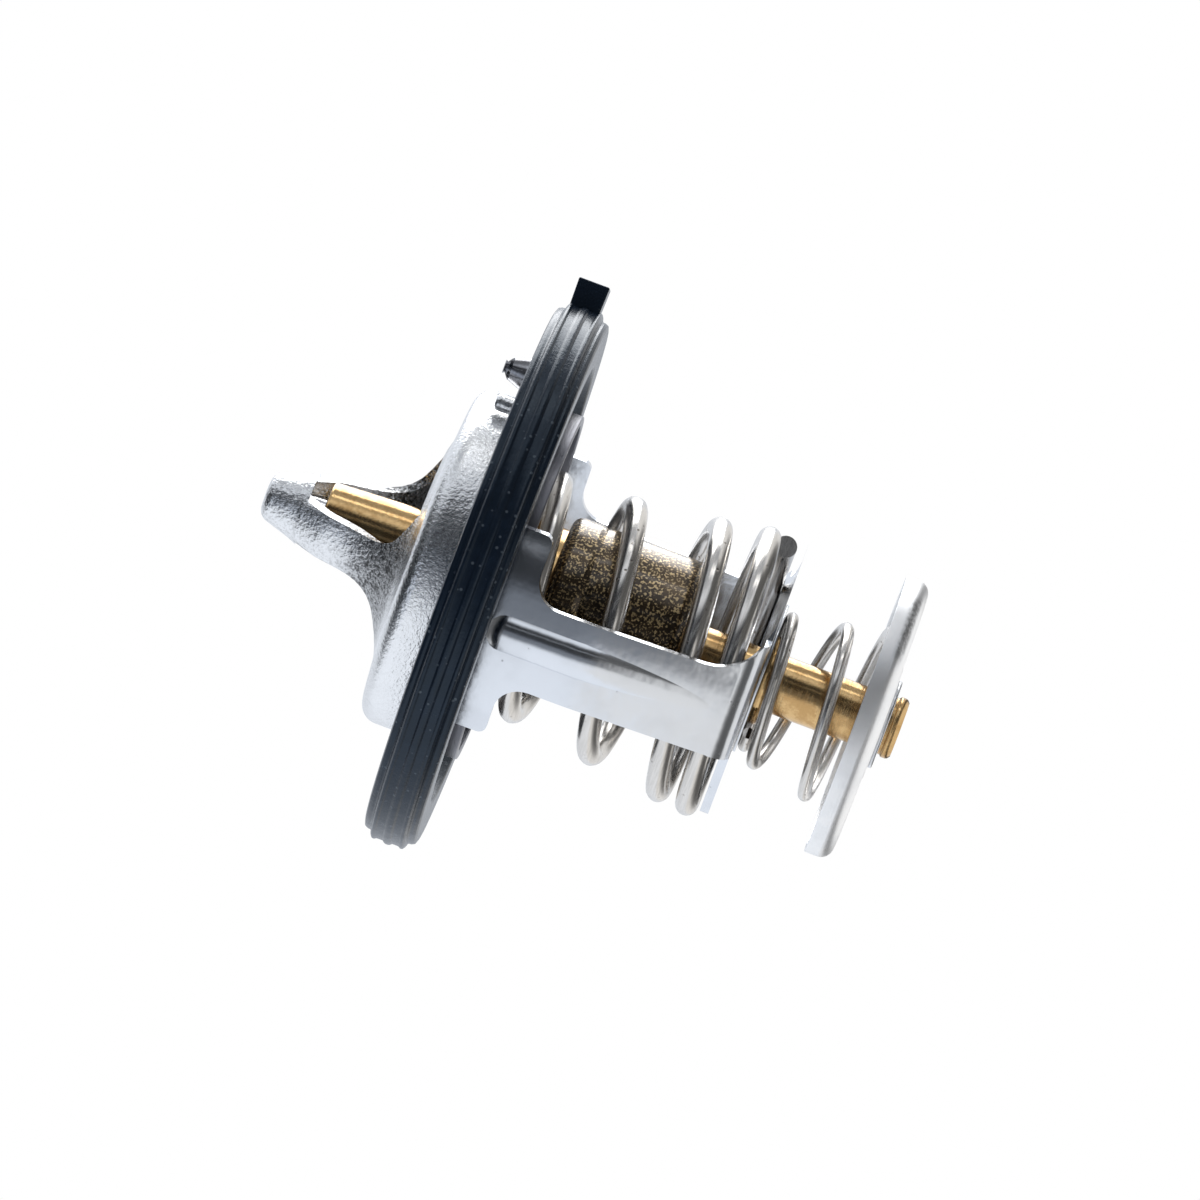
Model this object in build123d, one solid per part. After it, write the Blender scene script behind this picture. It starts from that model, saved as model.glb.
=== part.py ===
from build123d import *
import math
import os

# Wax element coolant valve for an engine, with a bypass disc on its rod and a jiggle pin in
# its flange. The axis is Z and +Z points to the nose. The origin lies on the axis, in the
# middle of the flange. The viewer side of the part is -Y. All sizes are in millimetres.

# Upper frame, one stamping: flange, bell, two legs and the nose
FRAME_SHEET = 0.8
BELL_RADIUS = 17.75
PIN_SPACE = 5.05
GASKET_BORE = BELL_RADIUS + PIN_SPACE
GASKET_GRIP = 4.2
FLANGE_RADIUS = GASKET_BORE + GASKET_GRIP
SHOULDER_HEIGHT = 7.1
SHOULDER_RISE = 1.1
THROAT_RADIUS = 6.6
BRIDGE_RADIUS = 4.75
NOSE_HEIGHT = 23.6
BRIDGE_TOP = NOSE_HEIGHT - 6.8
NOSE_BASE_RADIUS = 3.4
NOSE_BASE = NOSE_HEIGHT - 3.6
NOSE_RADIUS = 2.3
NOSE_ROUND = 1.25
NOSE_BLEND = 5.0
FLARE_ROUND = BRIDGE_TOP - SHOULDER_HEIGHT - SHOULDER_RISE - 0.1
BELL_ROUND = 1.9
FLANGE_ROUND = 0.8
BRIDGE_ANGLE = -121.0
BRIDGE_WIDTH = 5.0
WINDOW_LENGTH = 14.0
WINDOW_TOP = NOSE_HEIGHT - 4.4
WINDOW_RADIUS = 10.8
WINDOW_ROUND = 2.2

# Rubber gasket, U-section over the rim of the flange
GASKET_COVER = 1.45
GASKET_RADIUS = FLANGE_RADIUS + GASKET_COVER
GASKET_HEIGHT = 5.5
GASKET_LIP_STEP = 0.65
GASKET_LIP_RADIUS = GASKET_RADIUS - GASKET_LIP_STEP
GASKET_RIM_WIDTH = 3.4
RIDGE_WIDTH = 0.55
RIDGE_HEIGHT = 0.22
TAB_THICKNESS = 3.1
TAB_WIDTH = 5.0
TAB_REACH = 2.75
TAB_RADIUS = GASKET_RADIUS + TAB_REACH
TAB_SHIFT = 0.15

# Jiggle pin, and the pressed boss beside it
PIN_PLACE = BELL_RADIUS + PIN_SPACE / 2
PIN_STEM = 0.8
PIN_PORT_CLEARANCE = 0.3
PIN_CROWN = 1.9
PIN_TIP = 1.05
PIN_CROWN_LOW = 2.4
PIN_CROWN_HIGH = 5.75
PIN_SHOE = 1.6
PIN_SHOE_THICKNESS = 0.9
PIN_SHOE_DROP = 0.8
BOSS_RADIUS = 0.85
BOSS_HEIGHT = 4.6
BOSS_ANGLE = -28.5

# Main valve, a shallow cup that closes the bell from the spring side
SEAT_CLEARANCE = 0.05
VALVE_SHEET = 0.9
VALVE_OVERLAP = 0.55
VALVE_RADIUS = BELL_RADIUS + VALVE_OVERLAP
VALVE_DEPTH = 3.1
VALVE_ROUND = 0.5
VALVE_RIB_RADIUS = VALVE_RADIUS - 3.1
VALVE_RIB = 0.45

# Lower frame, one stamping: two legs with cross feet, and the end plate
LOWER_SHEET = 0.9
CAGE_CLEARANCE = 0.45
LEG_RADIUS = VALVE_RADIUS + CAGE_CLEARANCE + LOWER_SHEET
LEG_STRAIGHT = 12.0
LEG_TAPER = 1.65
LEG_LOW_RADIUS = LEG_RADIUS - LEG_TAPER
PLATE_DEPTH = 29.0
PLATE_RADIUS = LEG_LOW_RADIUS - 3.1
PLATE_BEND = 2.2
LEG_ANGLE = -105.5
LEG_WIDTH = 8.75
LEG_FLARE = 5.5
FOOT_STEP = 9.05
FOOT_WIDTH = 2 * (LEG_RADIUS - FOOT_STEP)
FOOT_DEPTH = 5.6
FOOT_ROUND = 0.9
FOOT_FILLET = 2.8
PLATE_NECK = 15.0
PLATE_FLAT = 1.9
BEND_SPARE = 0.05
BEAD_WIDTH = 3.5
BEAD_RISE = 0.75
BEAD_TURN = 1.8
BEAD_TOP = 2.4
BEAD_END = 25.5
TENON_WIDTH = 2.4
TENON_ANGLE = 23.0
TENON_RISE = 0.45
TENON_CLEARANCE = 0.02

# Wax element
PISTON_RADIUS = 1.6
PISTON_CLEARANCE = 0.05
PISTON_DEPTH = 12.5
PISTON_TIP = 0.6
GUIDE_TOP = NOSE_HEIGHT - 6.1
GUIDE_TIP_RADIUS = 3.5
GUIDE_ROOT_RADIUS = 4.5
HUB_CLEARANCE = 0.03
GUIDE_FLANGE_THICKNESS = 1.3
WIPER_RADIUS = 2.5
WIPER_THICKNESS = 0.9
CASE_RADIUS = 8.85
CASE_WALL = 0.8
GUIDE_FLANGE = CASE_RADIUS - CASE_WALL - 0.05
GUIDE_SHOULDER = GUIDE_FLANGE - 0.8
CASE_TOP = 6.2
CASE_BOTTOM = 20.5
CASE_CRIMP = 1.3
CASE_GROOVE = 0.12
BOOT_WALL = 1.0
BOOT_LIP = 4.4
BOOT_LIP_THICKNESS = 1.1
BOOT_END_GAP = 0.2
BACKUP_RADIUS = 3.6
BACKUP_THICKNESS = 0.6

# Rod and bypass valve
ROD_RADIUS = 3.0
ROD_CLEARANCE = 0.05
SPIGOT_RADIUS = 1.6
SPIGOT_HEAD = 2.5
SPIGOT_HEAD_THICKNESS = 0.7
SEAT_GAP = 0.05
SEAT_WASHER_RADIUS = 7.8
SEAT_WASHER_THICKNESS = 0.3
COLLAR_RADIUS = 4.6
COLLAR_THICKNESS = 0.95
DISC_SHEET = 0.8
DISC_RADIUS = 14.7
BYPASS_LENGTH = 12.95
DISC_FACE = PLATE_DEPTH + BYPASS_LENGTH
DISC_DEPTH = 2.65
DISC_RIM = DISC_FACE - DISC_DEPTH
ROD_END = DISC_FACE + 2.05
DISC_ROUND = 1.3
HUB_RADIUS = 6.0
HUB_STEP = 0.25
CLIP_RADIUS = 4.6
CLIP_THICKNESS = 0.4
CLIP_GAP = 0.03
CLIP_SLOT = 1.9
GROOVE_DEPTH = 0.5
HEAD_BEAD = 0.2
HEAD_BEAD_WIDTH = 0.6
HEAD_CHAMFER = 0.35

# Springs: turns counted from the strand at the top, in half turns, with the height of the
# wire's middle as a share of the free length, how far it has widened and how far it leans
MAIN_WIRE = 2.3
MAIN_LARGE_RADIUS = PLATE_RADIUS + 0.2
MAIN_SMALL_RADIUS = MAIN_LARGE_RADIUS - 2.5
MAIN_LEAN = 0.45
MAIN_HALF_TURNS = [-1.5, -1.0, 0.0, 1.0, 2.0, 3.0, 4.0, 5.0, 6.0, 7.0, 7.95]
MAIN_SHARES = [0.0, 0.01, 0.045, 0.187, 0.364, 0.55, 0.722, 0.862, 0.925, 0.99, 1.0]
MAIN_WIDENING = [0.0, 0.0, 0.0, 0.08, 0.20, 0.48, 0.66, 0.90, 1.0, 1.0, 0.96]
MAIN_LEANING = [0.0, 0.0, 0.2, 0.5, 0.8, 1.0, 1.0, 1.0, 1.0, 1.0, 1.0]
BYPASS_WIRE = 1.3
BYPASS_SMALL_RADIUS = 7.5
BYPASS_LARGE_RADIUS = 10.6
BYPASS_LEAN = 0.6
BYPASS_HALF_TURNS = [-1.2, 0.0, 1.0, 2.0, 3.0, 4.0, 4.8]
BYPASS_SHARES = [0.0, 0.0, 0.13, 0.53, 0.70, 0.94, 1.0]
BYPASS_WIDENING = [0.0, 0.0, 0.25, 0.45, 0.64, 0.84, 1.0]
BYPASS_LEANING = [0.0, 0.3, 1.0, 1.0, 1.0, 1.0, 1.0]
POINTS_A_HALF_TURN = 6

half_sheet = FRAME_SHEET / 2
flange_under = -half_sheet
axis_plane = Plane.XZ


def turned(points):
    """A solid of revolution about Z from a closed outline of (radius, height) points."""
    outline = Polyline(*points, close=True)
    face = make_face(axis_plane * outline)
    return revolve(face, Axis.Z)


def turned_wall(points, radii, sheet):
    """A sheet of even thickness turned about Z: the outline is the outer line, and the wall
    lies on its right hand side as the line is followed."""
    outer = FilletPolyline(*points, radius=radii)
    inner_points, inner_radii = parallel(points, radii, sheet)
    inner = FilletPolyline(*inner_points, radius=inner_radii)
    start = Line(inner @ 0, outer @ 0)
    end = Line(outer @ 1, inner @ 1)
    face = make_face(axis_plane * Wire([*outer.edges(), *end.edges(), *inner.edges(), *start.edges()]))
    return revolve(face, Axis.Z)


def parallel(points, radii, sheet):
    """The corners of a line that runs beside the given one at the sheet's thickness, and the
    corner radii that keep the wall even."""
    lines = []
    for a, b in zip(points, points[1:]):
        length = math.dist(a, b)
        step = ((b[0] - a[0]) / length, (b[1] - a[1]) / length)
        side = (step[1] * sheet, -step[0] * sheet)
        lines.append(((a[0] + side[0], a[1] + side[1]), step))
    corners = [lines[0][0]]
    sizes = []
    for (first, second), radius in zip(zip(lines, lines[1:]), radii):
        (p, d), (q, e) = first, second
        cross = d[0] * e[1] - d[1] * e[0]
        along = ((q[0] - p[0]) * e[1] - (q[1] - p[1]) * e[0]) / cross
        corners.append((p[0] + d[0] * along, p[1] + d[1] * along))
        sizes.append(radius - sheet if cross < 0 else radius + sheet)
    (p, d), last = lines[-1], points[-1]
    corners.append((last[0] + d[1] * sheet, last[1] - d[0] * sheet))
    return corners, sizes


def disc(radius, low, high, place=(0, 0)):
    """A round plate from one height to another."""
    return Pos(place[0], place[1], low) * extrude(Circle(radius), high - low)


def ring(outer, inner, low, high):
    """A flat ring from one height to another."""
    return disc(outer, low, high) - disc(inner, low - 1, high + 1)


def polar(radius, angle):
    """A point at a radius and an angle in degrees."""
    return (radius * math.cos(math.radians(angle)), radius * math.sin(math.radians(angle)))


def between(x, xs, ys):
    """The value at x on the line through the points (xs, ys)."""
    for xa, xb, ya, yb in zip(xs, xs[1:], ys, ys[1:]):
        if x <= xb:
            break
    return ya + (yb - ya) * (x - xa) / (xb - xa)


def coil(half_turns, shares, widening, leaning, wire, lean, heights, radii):
    """A round wire wound about Z from the top down: its middle line passes the half turns at
    the given shares of the height, widens from the first to the last radius, and its turns
    lean toward -X."""
    first, last = half_turns[0], half_turns[-1]
    (top, bottom), (small, large) = heights, radii
    steps = round((last - first) * POINTS_A_HALF_TURN)
    points = []
    for step in range(steps + 1):
        turn = first + (last - first) * step / steps
        height = top - wire / 2 - (top - bottom - wire) * between(turn, half_turns, shares)
        radius = small + (large - small) * between(turn, half_turns, widening) - wire / 2
        x, y = polar(radius, -180 * turn)
        points.append((x - lean * between(turn, half_turns, leaning), y, height))
    path = Spline(*points)
    section = Plane(origin=path @ 0, z_dir=path % 0) * Circle(wire / 2)
    return sweep(section, path=path)


# The upper frame's outer line, from the middle of the nose down to the rim of the flange
frame_line = [
    (0, NOSE_HEIGHT),
    (NOSE_RADIUS, NOSE_HEIGHT),
    (NOSE_BASE_RADIUS, NOSE_BASE),
    (BRIDGE_RADIUS, BRIDGE_TOP),
    (THROAT_RADIUS, SHOULDER_HEIGHT + SHOULDER_RISE),
    (BELL_RADIUS, SHOULDER_HEIGHT),
    (BELL_RADIUS, half_sheet),
    (FLANGE_RADIUS, half_sheet),
]
frame_rounds = [NOSE_ROUND, NOSE_BLEND, NOSE_BLEND, FLARE_ROUND, BELL_ROUND, FLANGE_ROUND]
upper_frame = turned_wall(frame_line, frame_rounds, FRAME_SHEET)

# Two windows between the legs, cut straight down through the flare
bridge = Rot(0, 0, BRIDGE_ANGLE)
window = Rectangle(WINDOW_LENGTH, 2 * WINDOW_RADIUS) & Circle(WINDOW_RADIUS)
window -= Rectangle(2 * WINDOW_LENGTH, BRIDGE_WIDTH)
window = fillet(window.vertices().filter_by(lambda v: abs(abs(v.Y) - BRIDGE_WIDTH / 2) < 0.01), WINDOW_ROUND)
window_low = SHOULDER_HEIGHT - 2 * FRAME_SHEET
windows = bridge * Pos(0, 0, window_low) * extrude(window, WINDOW_TOP - window_low)
upper_frame -= windows

# A pressed boss on the flange beside the jiggle pin
boss_place = polar(BELL_RADIUS + BOSS_RADIUS + 0.2, BOSS_ANGLE)
boss = disc(BOSS_RADIUS, half_sheet, half_sheet + BOSS_HEIGHT, boss_place)
boss = fillet(boss.edges().group_by(Axis.Z)[-1], BOSS_RADIUS * 0.7)
upper_frame += boss

# Port for the jiggle pin, and slots for the tenons of the lower frame
port_radius = PIN_STEM + PIN_PORT_CLEARANCE
upper_frame -= disc(port_radius, -FRAME_SHEET, FRAME_SHEET, (PIN_PLACE, 0))
tenon_radius = LEG_RADIUS - LOWER_SHEET / 2
foot_angles = [LEG_ANGLE, LEG_ANGLE + 180]
tenon_angles = [angle + side * TENON_ANGLE for angle in foot_angles for side in (-1, 1)]


def tenon(angle, spare, low, high):
    """An upright tongue at the foot of a leg."""
    block = Rectangle(LOWER_SHEET + 2 * spare, TENON_WIDTH + 2 * spare)
    return Rot(0, 0, angle) * Pos(tenon_radius, 0, low) * extrude(block, high - low)


for angle in tenon_angles:
    upper_frame -= tenon(angle, TENON_CLEARANCE, -FRAME_SHEET, FRAME_SHEET)

# The gasket: half of its section is drawn and mirrored, and the rim carries three ridges
half_gasket = GASKET_HEIGHT / 2
half_rim = GASKET_RIM_WIDTH / 2
gasket = turned([
    (GASKET_BORE, half_sheet),
    (GASKET_BORE + 0.35, half_gasket),
    (GASKET_LIP_RADIUS - 0.4, half_gasket),
    (GASKET_LIP_RADIUS, half_gasket - 0.4),
    (GASKET_LIP_RADIUS, half_rim + 0.25),
    (GASKET_RADIUS, half_rim),
    (GASKET_RADIUS, -half_rim),
    (GASKET_LIP_RADIUS, -half_rim - 0.25),
    (GASKET_LIP_RADIUS, -half_gasket + 0.4),
    (GASKET_LIP_RADIUS - 0.4, -half_gasket),
    (GASKET_BORE + 0.35, -half_gasket),
    (GASKET_BORE, -half_sheet),
    (FLANGE_RADIUS, -half_sheet),
    (FLANGE_RADIUS, half_sheet),
])
for place in (-1, 0, 1):
    middle = place * (GASKET_RIM_WIDTH - RIDGE_WIDTH) / 2
    rise = RIDGE_HEIGHT if place == 0 else RIDGE_HEIGHT * 0.6
    gasket += ring(GASKET_RADIUS + rise, GASKET_RADIUS - 0.3, middle - RIDGE_WIDTH / 2, middle + RIDGE_WIDTH / 2)
tab_length = TAB_RADIUS - GASKET_LIP_RADIUS
tab = Box(tab_length, TAB_WIDTH, TAB_THICKNESS)
tab = chamfer(tab.edges().filter_by(Axis.Y).group_by(Axis.X)[-1], 0.15)
gasket += Pos(GASKET_LIP_RADIUS + tab_length / 2, 0, TAB_SHIFT) * tab

# The jiggle pin: a cone on the nose side, and a shoe that closes the port from below
pin_neck = PIN_STEM
shoe_top = flange_under - PIN_SHOE_DROP
pin_line = [
    (0, PIN_CROWN_HIGH),
    (PIN_TIP, PIN_CROWN_HIGH),
    (PIN_CROWN, PIN_CROWN_LOW),
    (pin_neck, PIN_CROWN_LOW - 0.3),
    (pin_neck, shoe_top),
    (PIN_SHOE, shoe_top),
    (PIN_SHOE, shoe_top - PIN_SHOE_THICKNESS + 0.3),
    (PIN_SHOE - 0.3, shoe_top - PIN_SHOE_THICKNESS),
    (0, shoe_top - PIN_SHOE_THICKNESS),
]
jiggle_pin = turned(pin_line)
for side in (-1, 1):
    flat = Box(PIN_CROWN, 2 * PIN_CROWN, PIN_CROWN)
    jiggle_pin -= Pos(side * (PIN_TIP + PIN_CROWN / 2 - 0.15), 0, PIN_CROWN_HIGH) * Rot(0, side * 35, 0) * flat
jiggle_pin = Pos(PIN_PLACE, 0, 0) * jiggle_pin

# Main valve: a round plate with a skirt toward the spring and a rib pressed up in it
valve_top = flange_under - SEAT_CLEARANCE
valve_low = valve_top - VALVE_DEPTH
web_under = valve_top - VALVE_SHEET
hub_hole = GUIDE_ROOT_RADIUS + HUB_CLEARANCE
main_valve = turned([
    (hub_hole, web_under),
    (hub_hole, valve_top),
    (VALVE_RIB_RADIUS - 2 * VALVE_RIB, valve_top),
    (VALVE_RIB_RADIUS - VALVE_RIB, valve_top + VALVE_RIB),
    (VALVE_RIB_RADIUS, valve_top + VALVE_RIB),
    (VALVE_RIB_RADIUS + VALVE_RIB, valve_top),
    (VALVE_RADIUS - VALVE_ROUND, valve_top),
    (VALVE_RADIUS - VALVE_ROUND * 0.3, valve_top - VALVE_ROUND * 0.3),
    (VALVE_RADIUS, valve_top - VALVE_ROUND),
    (VALVE_RADIUS, valve_low),
    (VALVE_RADIUS - VALVE_SHEET, valve_low),
    (VALVE_RADIUS - VALVE_SHEET, web_under),
])

# Lower frame: a cup turned about Z, of which two legs, their feet and the plate are kept
leg_line = [
    (LEG_RADIUS, flange_under),
    (LEG_RADIUS, -LEG_STRAIGHT),
    (LEG_LOW_RADIUS, -PLATE_DEPTH),
    (0, -PLATE_DEPTH),
]
cup = turned_wall(leg_line, [2 * LEG_STRAIGHT, PLATE_BEND], LOWER_SHEET)
half_leg = LEG_WIDTH / 2
half_foot = FOOT_WIDTH / 2
half_plate = PLATE_RADIUS - PLATE_FLAT
plate_inside = -PLATE_DEPTH + LOWER_SHEET
bend_top = -PLATE_DEPTH + PLATE_BEND
front = Polyline(
    (half_foot, 1), (half_foot, -FOOT_DEPTH), (half_leg, -FOOT_DEPTH), (half_leg, -PLATE_DEPTH),
    (half_plate, -PLATE_DEPTH), (half_plate, -PLATE_DEPTH - 1),
    (-half_plate, -PLATE_DEPTH - 1), (-half_plate, bend_top),
    (-half_leg, bend_top), (-half_leg, -FOOT_DEPTH), (-half_foot, -FOOT_DEPTH), (-half_foot, 1),
    close=True,
)
front = make_face(front)


def corners(face, across, along):
    """The corners of a flat face at a distance from the middle line and a height."""
    return face.vertices().filter_by(lambda v: abs(abs(v.X) - across) < 0.01 and abs(v.Y - along) < 0.01)


front = fillet(corners(front, half_foot, -FOOT_DEPTH), FOOT_ROUND)
front = fillet(corners(front, half_leg, -FOOT_DEPTH), FOOT_FILLET)
front = fillet(corners(front, half_leg, -PLATE_DEPTH), LEG_FLARE)
leg_turn = Rot(0, 0, LEG_ANGLE + 90)
span = 2 * LEG_RADIUS + 2
front_block = leg_turn * extrude(Plane.XZ * front, span / 2, both=True)
neck = Rectangle(PLATE_NECK / 2 + half_leg + BEND_SPARE, span)
plan = Circle(PLATE_RADIUS) + Pos((PLATE_NECK / 2 - half_leg - BEND_SPARE) / 2, 0) * neck
plan_block = leg_turn * Pos(0, 0, -PLATE_DEPTH - 1) * extrude(plan, PLATE_DEPTH - FOOT_DEPTH)
feet_block = Pos(0, 0, -FOOT_DEPTH - FOOT_FILLET) * extrude(Circle(LEG_RADIUS + 1), FOOT_DEPTH + FOOT_FILLET + 1)
lower_frame = cup & front_block & (plan_block + feet_block)
half_bead = BEAD_WIDTH / 2
bead_radius = (half_bead ** 2 + BEAD_RISE ** 2) / (2 * BEAD_RISE)
low_radius = between(BEAD_END, [LEG_STRAIGHT, PLATE_DEPTH], [LEG_RADIUS, LEG_LOW_RADIUS])
middle_sheet = LOWER_SHEET / 2
inside = turned([
    (0, 1),
    (LEG_RADIUS - middle_sheet, 1),
    (LEG_RADIUS - middle_sheet, -LEG_STRAIGHT),
    (LEG_LOW_RADIUS - middle_sheet, -PLATE_DEPTH),
    (0, -PLATE_DEPTH),
])


def bead_rod(depth):
    """The round bar that shapes one side of a bead, at a depth in the sheet."""
    out = LEG_RADIUS - depth - bead_radius + BEAD_RISE
    top = Plane(origin=(out, 0, -BEAD_TOP - half_bead), z_dir=(0, 0, 1))
    middle = Plane(origin=(out, 0, -LEG_STRAIGHT), z_dir=(0, 0, 1))
    end = Plane(origin=(low_radius - depth - bead_radius, 0, -BEAD_END), z_dir=(0, 0, 1))
    rod = loft([top * Circle(bead_radius), middle * Circle(bead_radius)], ruled=True)
    rod += loft([middle * Circle(bead_radius), end * Circle(bead_radius)], ruled=True)
    return rod + Pos(out, 0, -BEAD_TOP - half_bead) * Sphere(bead_radius)


# The beads are pressed outward: their backs are hollow, and they fade out toward the plate
hollow = bead_rod(LOWER_SHEET)
shell = bead_rod(0) - inside - hollow
for angle in foot_angles:
    lower_frame -= Rot(0, 0, angle + BEAD_TURN) * hollow
    lower_frame += Rot(0, 0, angle + BEAD_TURN) * shell
for angle in tenon_angles:
    lower_frame += tenon(angle, 0, flange_under - 1, half_sheet + TENON_RISE)
rod_hole = ROD_RADIUS + ROD_CLEARANCE
lower_frame -= disc(rod_hole, -PLATE_DEPTH - 1, plate_inside + 1)

# Main spring, from the web of the valve to the end plate
main_spring = coil(MAIN_HALF_TURNS, MAIN_SHARES, MAIN_WIDENING, MAIN_LEANING, MAIN_WIRE, MAIN_LEAN,
                   (web_under, plate_inside), (MAIN_SMALL_RADIUS, MAIN_LARGE_RADIUS))

# Wax element: brass guide, crimped case, rubber boot, backup ring, wiper, wax and piston
bore = PISTON_RADIUS + PISTON_CLEARANCE
nose_inside = NOSE_HEIGHT - FRAME_SHEET
piston = disc(PISTON_RADIUS, -PISTON_DEPTH, nose_inside)
piston = chamfer(piston.edges().filter_by(GeomType.CIRCLE), PISTON_TIP)
wiper = ring(WIPER_RADIUS, bore, GUIDE_TOP - WIPER_THICKNESS, GUIDE_TOP)
guide_low = -CASE_TOP - CASE_WALL - GUIDE_FLANGE_THICKNESS
backup_low = guide_low
backup_ring = ring(BACKUP_RADIUS, bore, backup_low, backup_low + BACKUP_THICKNESS)
element_guide = turned([
    (bore, backup_low + BACKUP_THICKNESS),
    (bore, GUIDE_TOP - WIPER_THICKNESS),
    (WIPER_RADIUS, GUIDE_TOP - WIPER_THICKNESS),
    (WIPER_RADIUS, GUIDE_TOP),
    (GUIDE_TIP_RADIUS - 0.3, GUIDE_TOP),
    (GUIDE_TIP_RADIUS, GUIDE_TOP - 0.3),
    (GUIDE_ROOT_RADIUS, valve_top + 1),
    (GUIDE_ROOT_RADIUS, web_under),
    (GUIDE_SHOULDER, web_under),
    (GUIDE_SHOULDER, -CASE_TOP),
    (GUIDE_SHOULDER, -CASE_TOP - CASE_WALL),
    (GUIDE_FLANGE, -CASE_TOP - CASE_WALL),
    (GUIDE_FLANGE, guide_low),
    (BACKUP_RADIUS, guide_low),
    (BACKUP_RADIUS, backup_low + BACKUP_THICKNESS),
])
boot_top = guide_low
boot_radius = bore + BOOT_WALL
boot_low = -PISTON_DEPTH - BOOT_END_GAP - BOOT_WALL
rubber_boot = turned([
    (bore, boot_top),
    (BOOT_LIP, boot_top),
    (BOOT_LIP, boot_top - BOOT_LIP_THICKNESS),
    (boot_radius, boot_top - BOOT_LIP_THICKNESS),
    (boot_radius, boot_low + 0.6),
    (boot_radius - 0.6, boot_low),
    (0, boot_low),
    (0, boot_low + BOOT_WALL),
    (bore, boot_low + BOOT_WALL),
])
case_inside = CASE_RADIUS - CASE_WALL
groove_z = guide_low - 1.6
element_case = turned([
    (GUIDE_SHOULDER, -CASE_TOP),
    (CASE_RADIUS - CASE_CRIMP, -CASE_TOP),
    (CASE_RADIUS - CASE_CRIMP * 0.3, -CASE_TOP - CASE_CRIMP * 0.3),
    (CASE_RADIUS, -CASE_TOP - CASE_CRIMP),
    (CASE_RADIUS, groove_z + 0.7),
    (CASE_RADIUS - CASE_GROOVE, groove_z),
    (CASE_RADIUS, groove_z - 0.7),
    (CASE_RADIUS, -CASE_BOTTOM + CASE_CRIMP),
    (CASE_RADIUS - CASE_CRIMP * 0.3, -CASE_BOTTOM + CASE_CRIMP * 0.3),
    (CASE_RADIUS - CASE_CRIMP, -CASE_BOTTOM),
    (SPIGOT_RADIUS, -CASE_BOTTOM),
    (SPIGOT_RADIUS, -CASE_BOTTOM + CASE_WALL),
    (case_inside - 0.6, -CASE_BOTTOM + CASE_WALL),
    (case_inside, -CASE_BOTTOM + CASE_WALL + 0.6),
    (case_inside, groove_z - 0.5),
    (case_inside - CASE_GROOVE, groove_z),
    (case_inside, groove_z + 0.5),
    (case_inside, -CASE_TOP - CASE_WALL),
    (GUIDE_SHOULDER, -CASE_TOP - CASE_WALL),
])
wax_low = -CASE_BOTTOM + CASE_WALL
wax_radius = case_inside - CASE_GROOVE
wax_charge = disc(wax_radius, wax_low, guide_low)
wax_charge = chamfer(wax_charge.edges().group_by(Axis.Z)[0], CASE_WALL)
wax_charge -= disc(boot_radius, boot_low, guide_low)
wax_charge -= disc(SPIGOT_HEAD, wax_low, wax_low + SPIGOT_HEAD_THICKNESS)
wax_charge -= disc(BOOT_LIP, guide_low - BOOT_LIP_THICKNESS, guide_low)

# Rod: a spigot staked in the case, a groove for the clip and a beaded head
clip_top = -DISC_FACE - HUB_STEP - CLIP_GAP
clip_low = clip_top - CLIP_THICKNESS
bypass_rod = turned([
    (0, wax_low + SPIGOT_HEAD_THICKNESS),
    (SPIGOT_HEAD, wax_low + SPIGOT_HEAD_THICKNESS),
    (SPIGOT_HEAD, wax_low),
    (SPIGOT_RADIUS, wax_low),
    (SPIGOT_RADIUS, -CASE_BOTTOM),
    (ROD_RADIUS, -CASE_BOTTOM),
    (ROD_RADIUS, clip_top),
    (ROD_RADIUS - GROOVE_DEPTH, clip_top),
    (ROD_RADIUS - GROOVE_DEPTH, clip_low),
    (ROD_RADIUS, clip_low),
    (ROD_RADIUS, -ROD_END + HEAD_CHAMFER + HEAD_BEAD_WIDTH + HEAD_BEAD),
    (ROD_RADIUS + HEAD_BEAD, -ROD_END + HEAD_CHAMFER + HEAD_BEAD_WIDTH),
    (ROD_RADIUS + HEAD_BEAD, -ROD_END + HEAD_CHAMFER),
    (ROD_RADIUS + HEAD_BEAD - HEAD_CHAMFER, -ROD_END),
    (0, -ROD_END),
])

# Spring seat and the collar that holds it on the rod, just outside the end plate
seat_top = -PLATE_DEPTH - SEAT_GAP
seat_low = seat_top - SEAT_WASHER_THICKNESS
spring_seat = ring(SEAT_WASHER_RADIUS, ROD_RADIUS, seat_low, seat_top)
rod_collar = ring(COLLAR_RADIUS, ROD_RADIUS, seat_low - COLLAR_THICKNESS, seat_low)
rod_collar = chamfer(rod_collar.edges().filter_by(GeomType.CIRCLE).group_by(Axis.Z)[0].sort_by(SortBy.RADIUS)[-1], 0.2)

# Bypass disc: a shallow cup open toward its spring, with a raised hub, and its clip
disc_hole = ROD_RADIUS + ROD_CLEARANCE
disc_inside = -DISC_FACE + DISC_SHEET
hub_low = -DISC_FACE - HUB_STEP
disc_line = [(DISC_RADIUS, -DISC_RIM), (DISC_RADIUS, -DISC_FACE), (0, -DISC_FACE)]
bypass_disc = turned_wall(disc_line, [DISC_ROUND], DISC_SHEET)
bypass_disc += disc(HUB_RADIUS, hub_low, -DISC_FACE)
bypass_disc -= disc(HUB_RADIUS - DISC_SHEET, hub_low + DISC_SHEET, disc_inside + 1)
bypass_disc -= disc(disc_hole, hub_low - 1, disc_inside + 1)
clip_face = Circle(CLIP_RADIUS) - Circle(ROD_RADIUS - GROOVE_DEPTH)
clip_face -= Pos(0, CLIP_RADIUS / 2 + 0.5) * Rectangle(2 * CLIP_SLOT, CLIP_RADIUS + 1)
retaining_clip = Pos(0, 0, clip_low) * extrude(clip_face, CLIP_THICKNESS)

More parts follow.
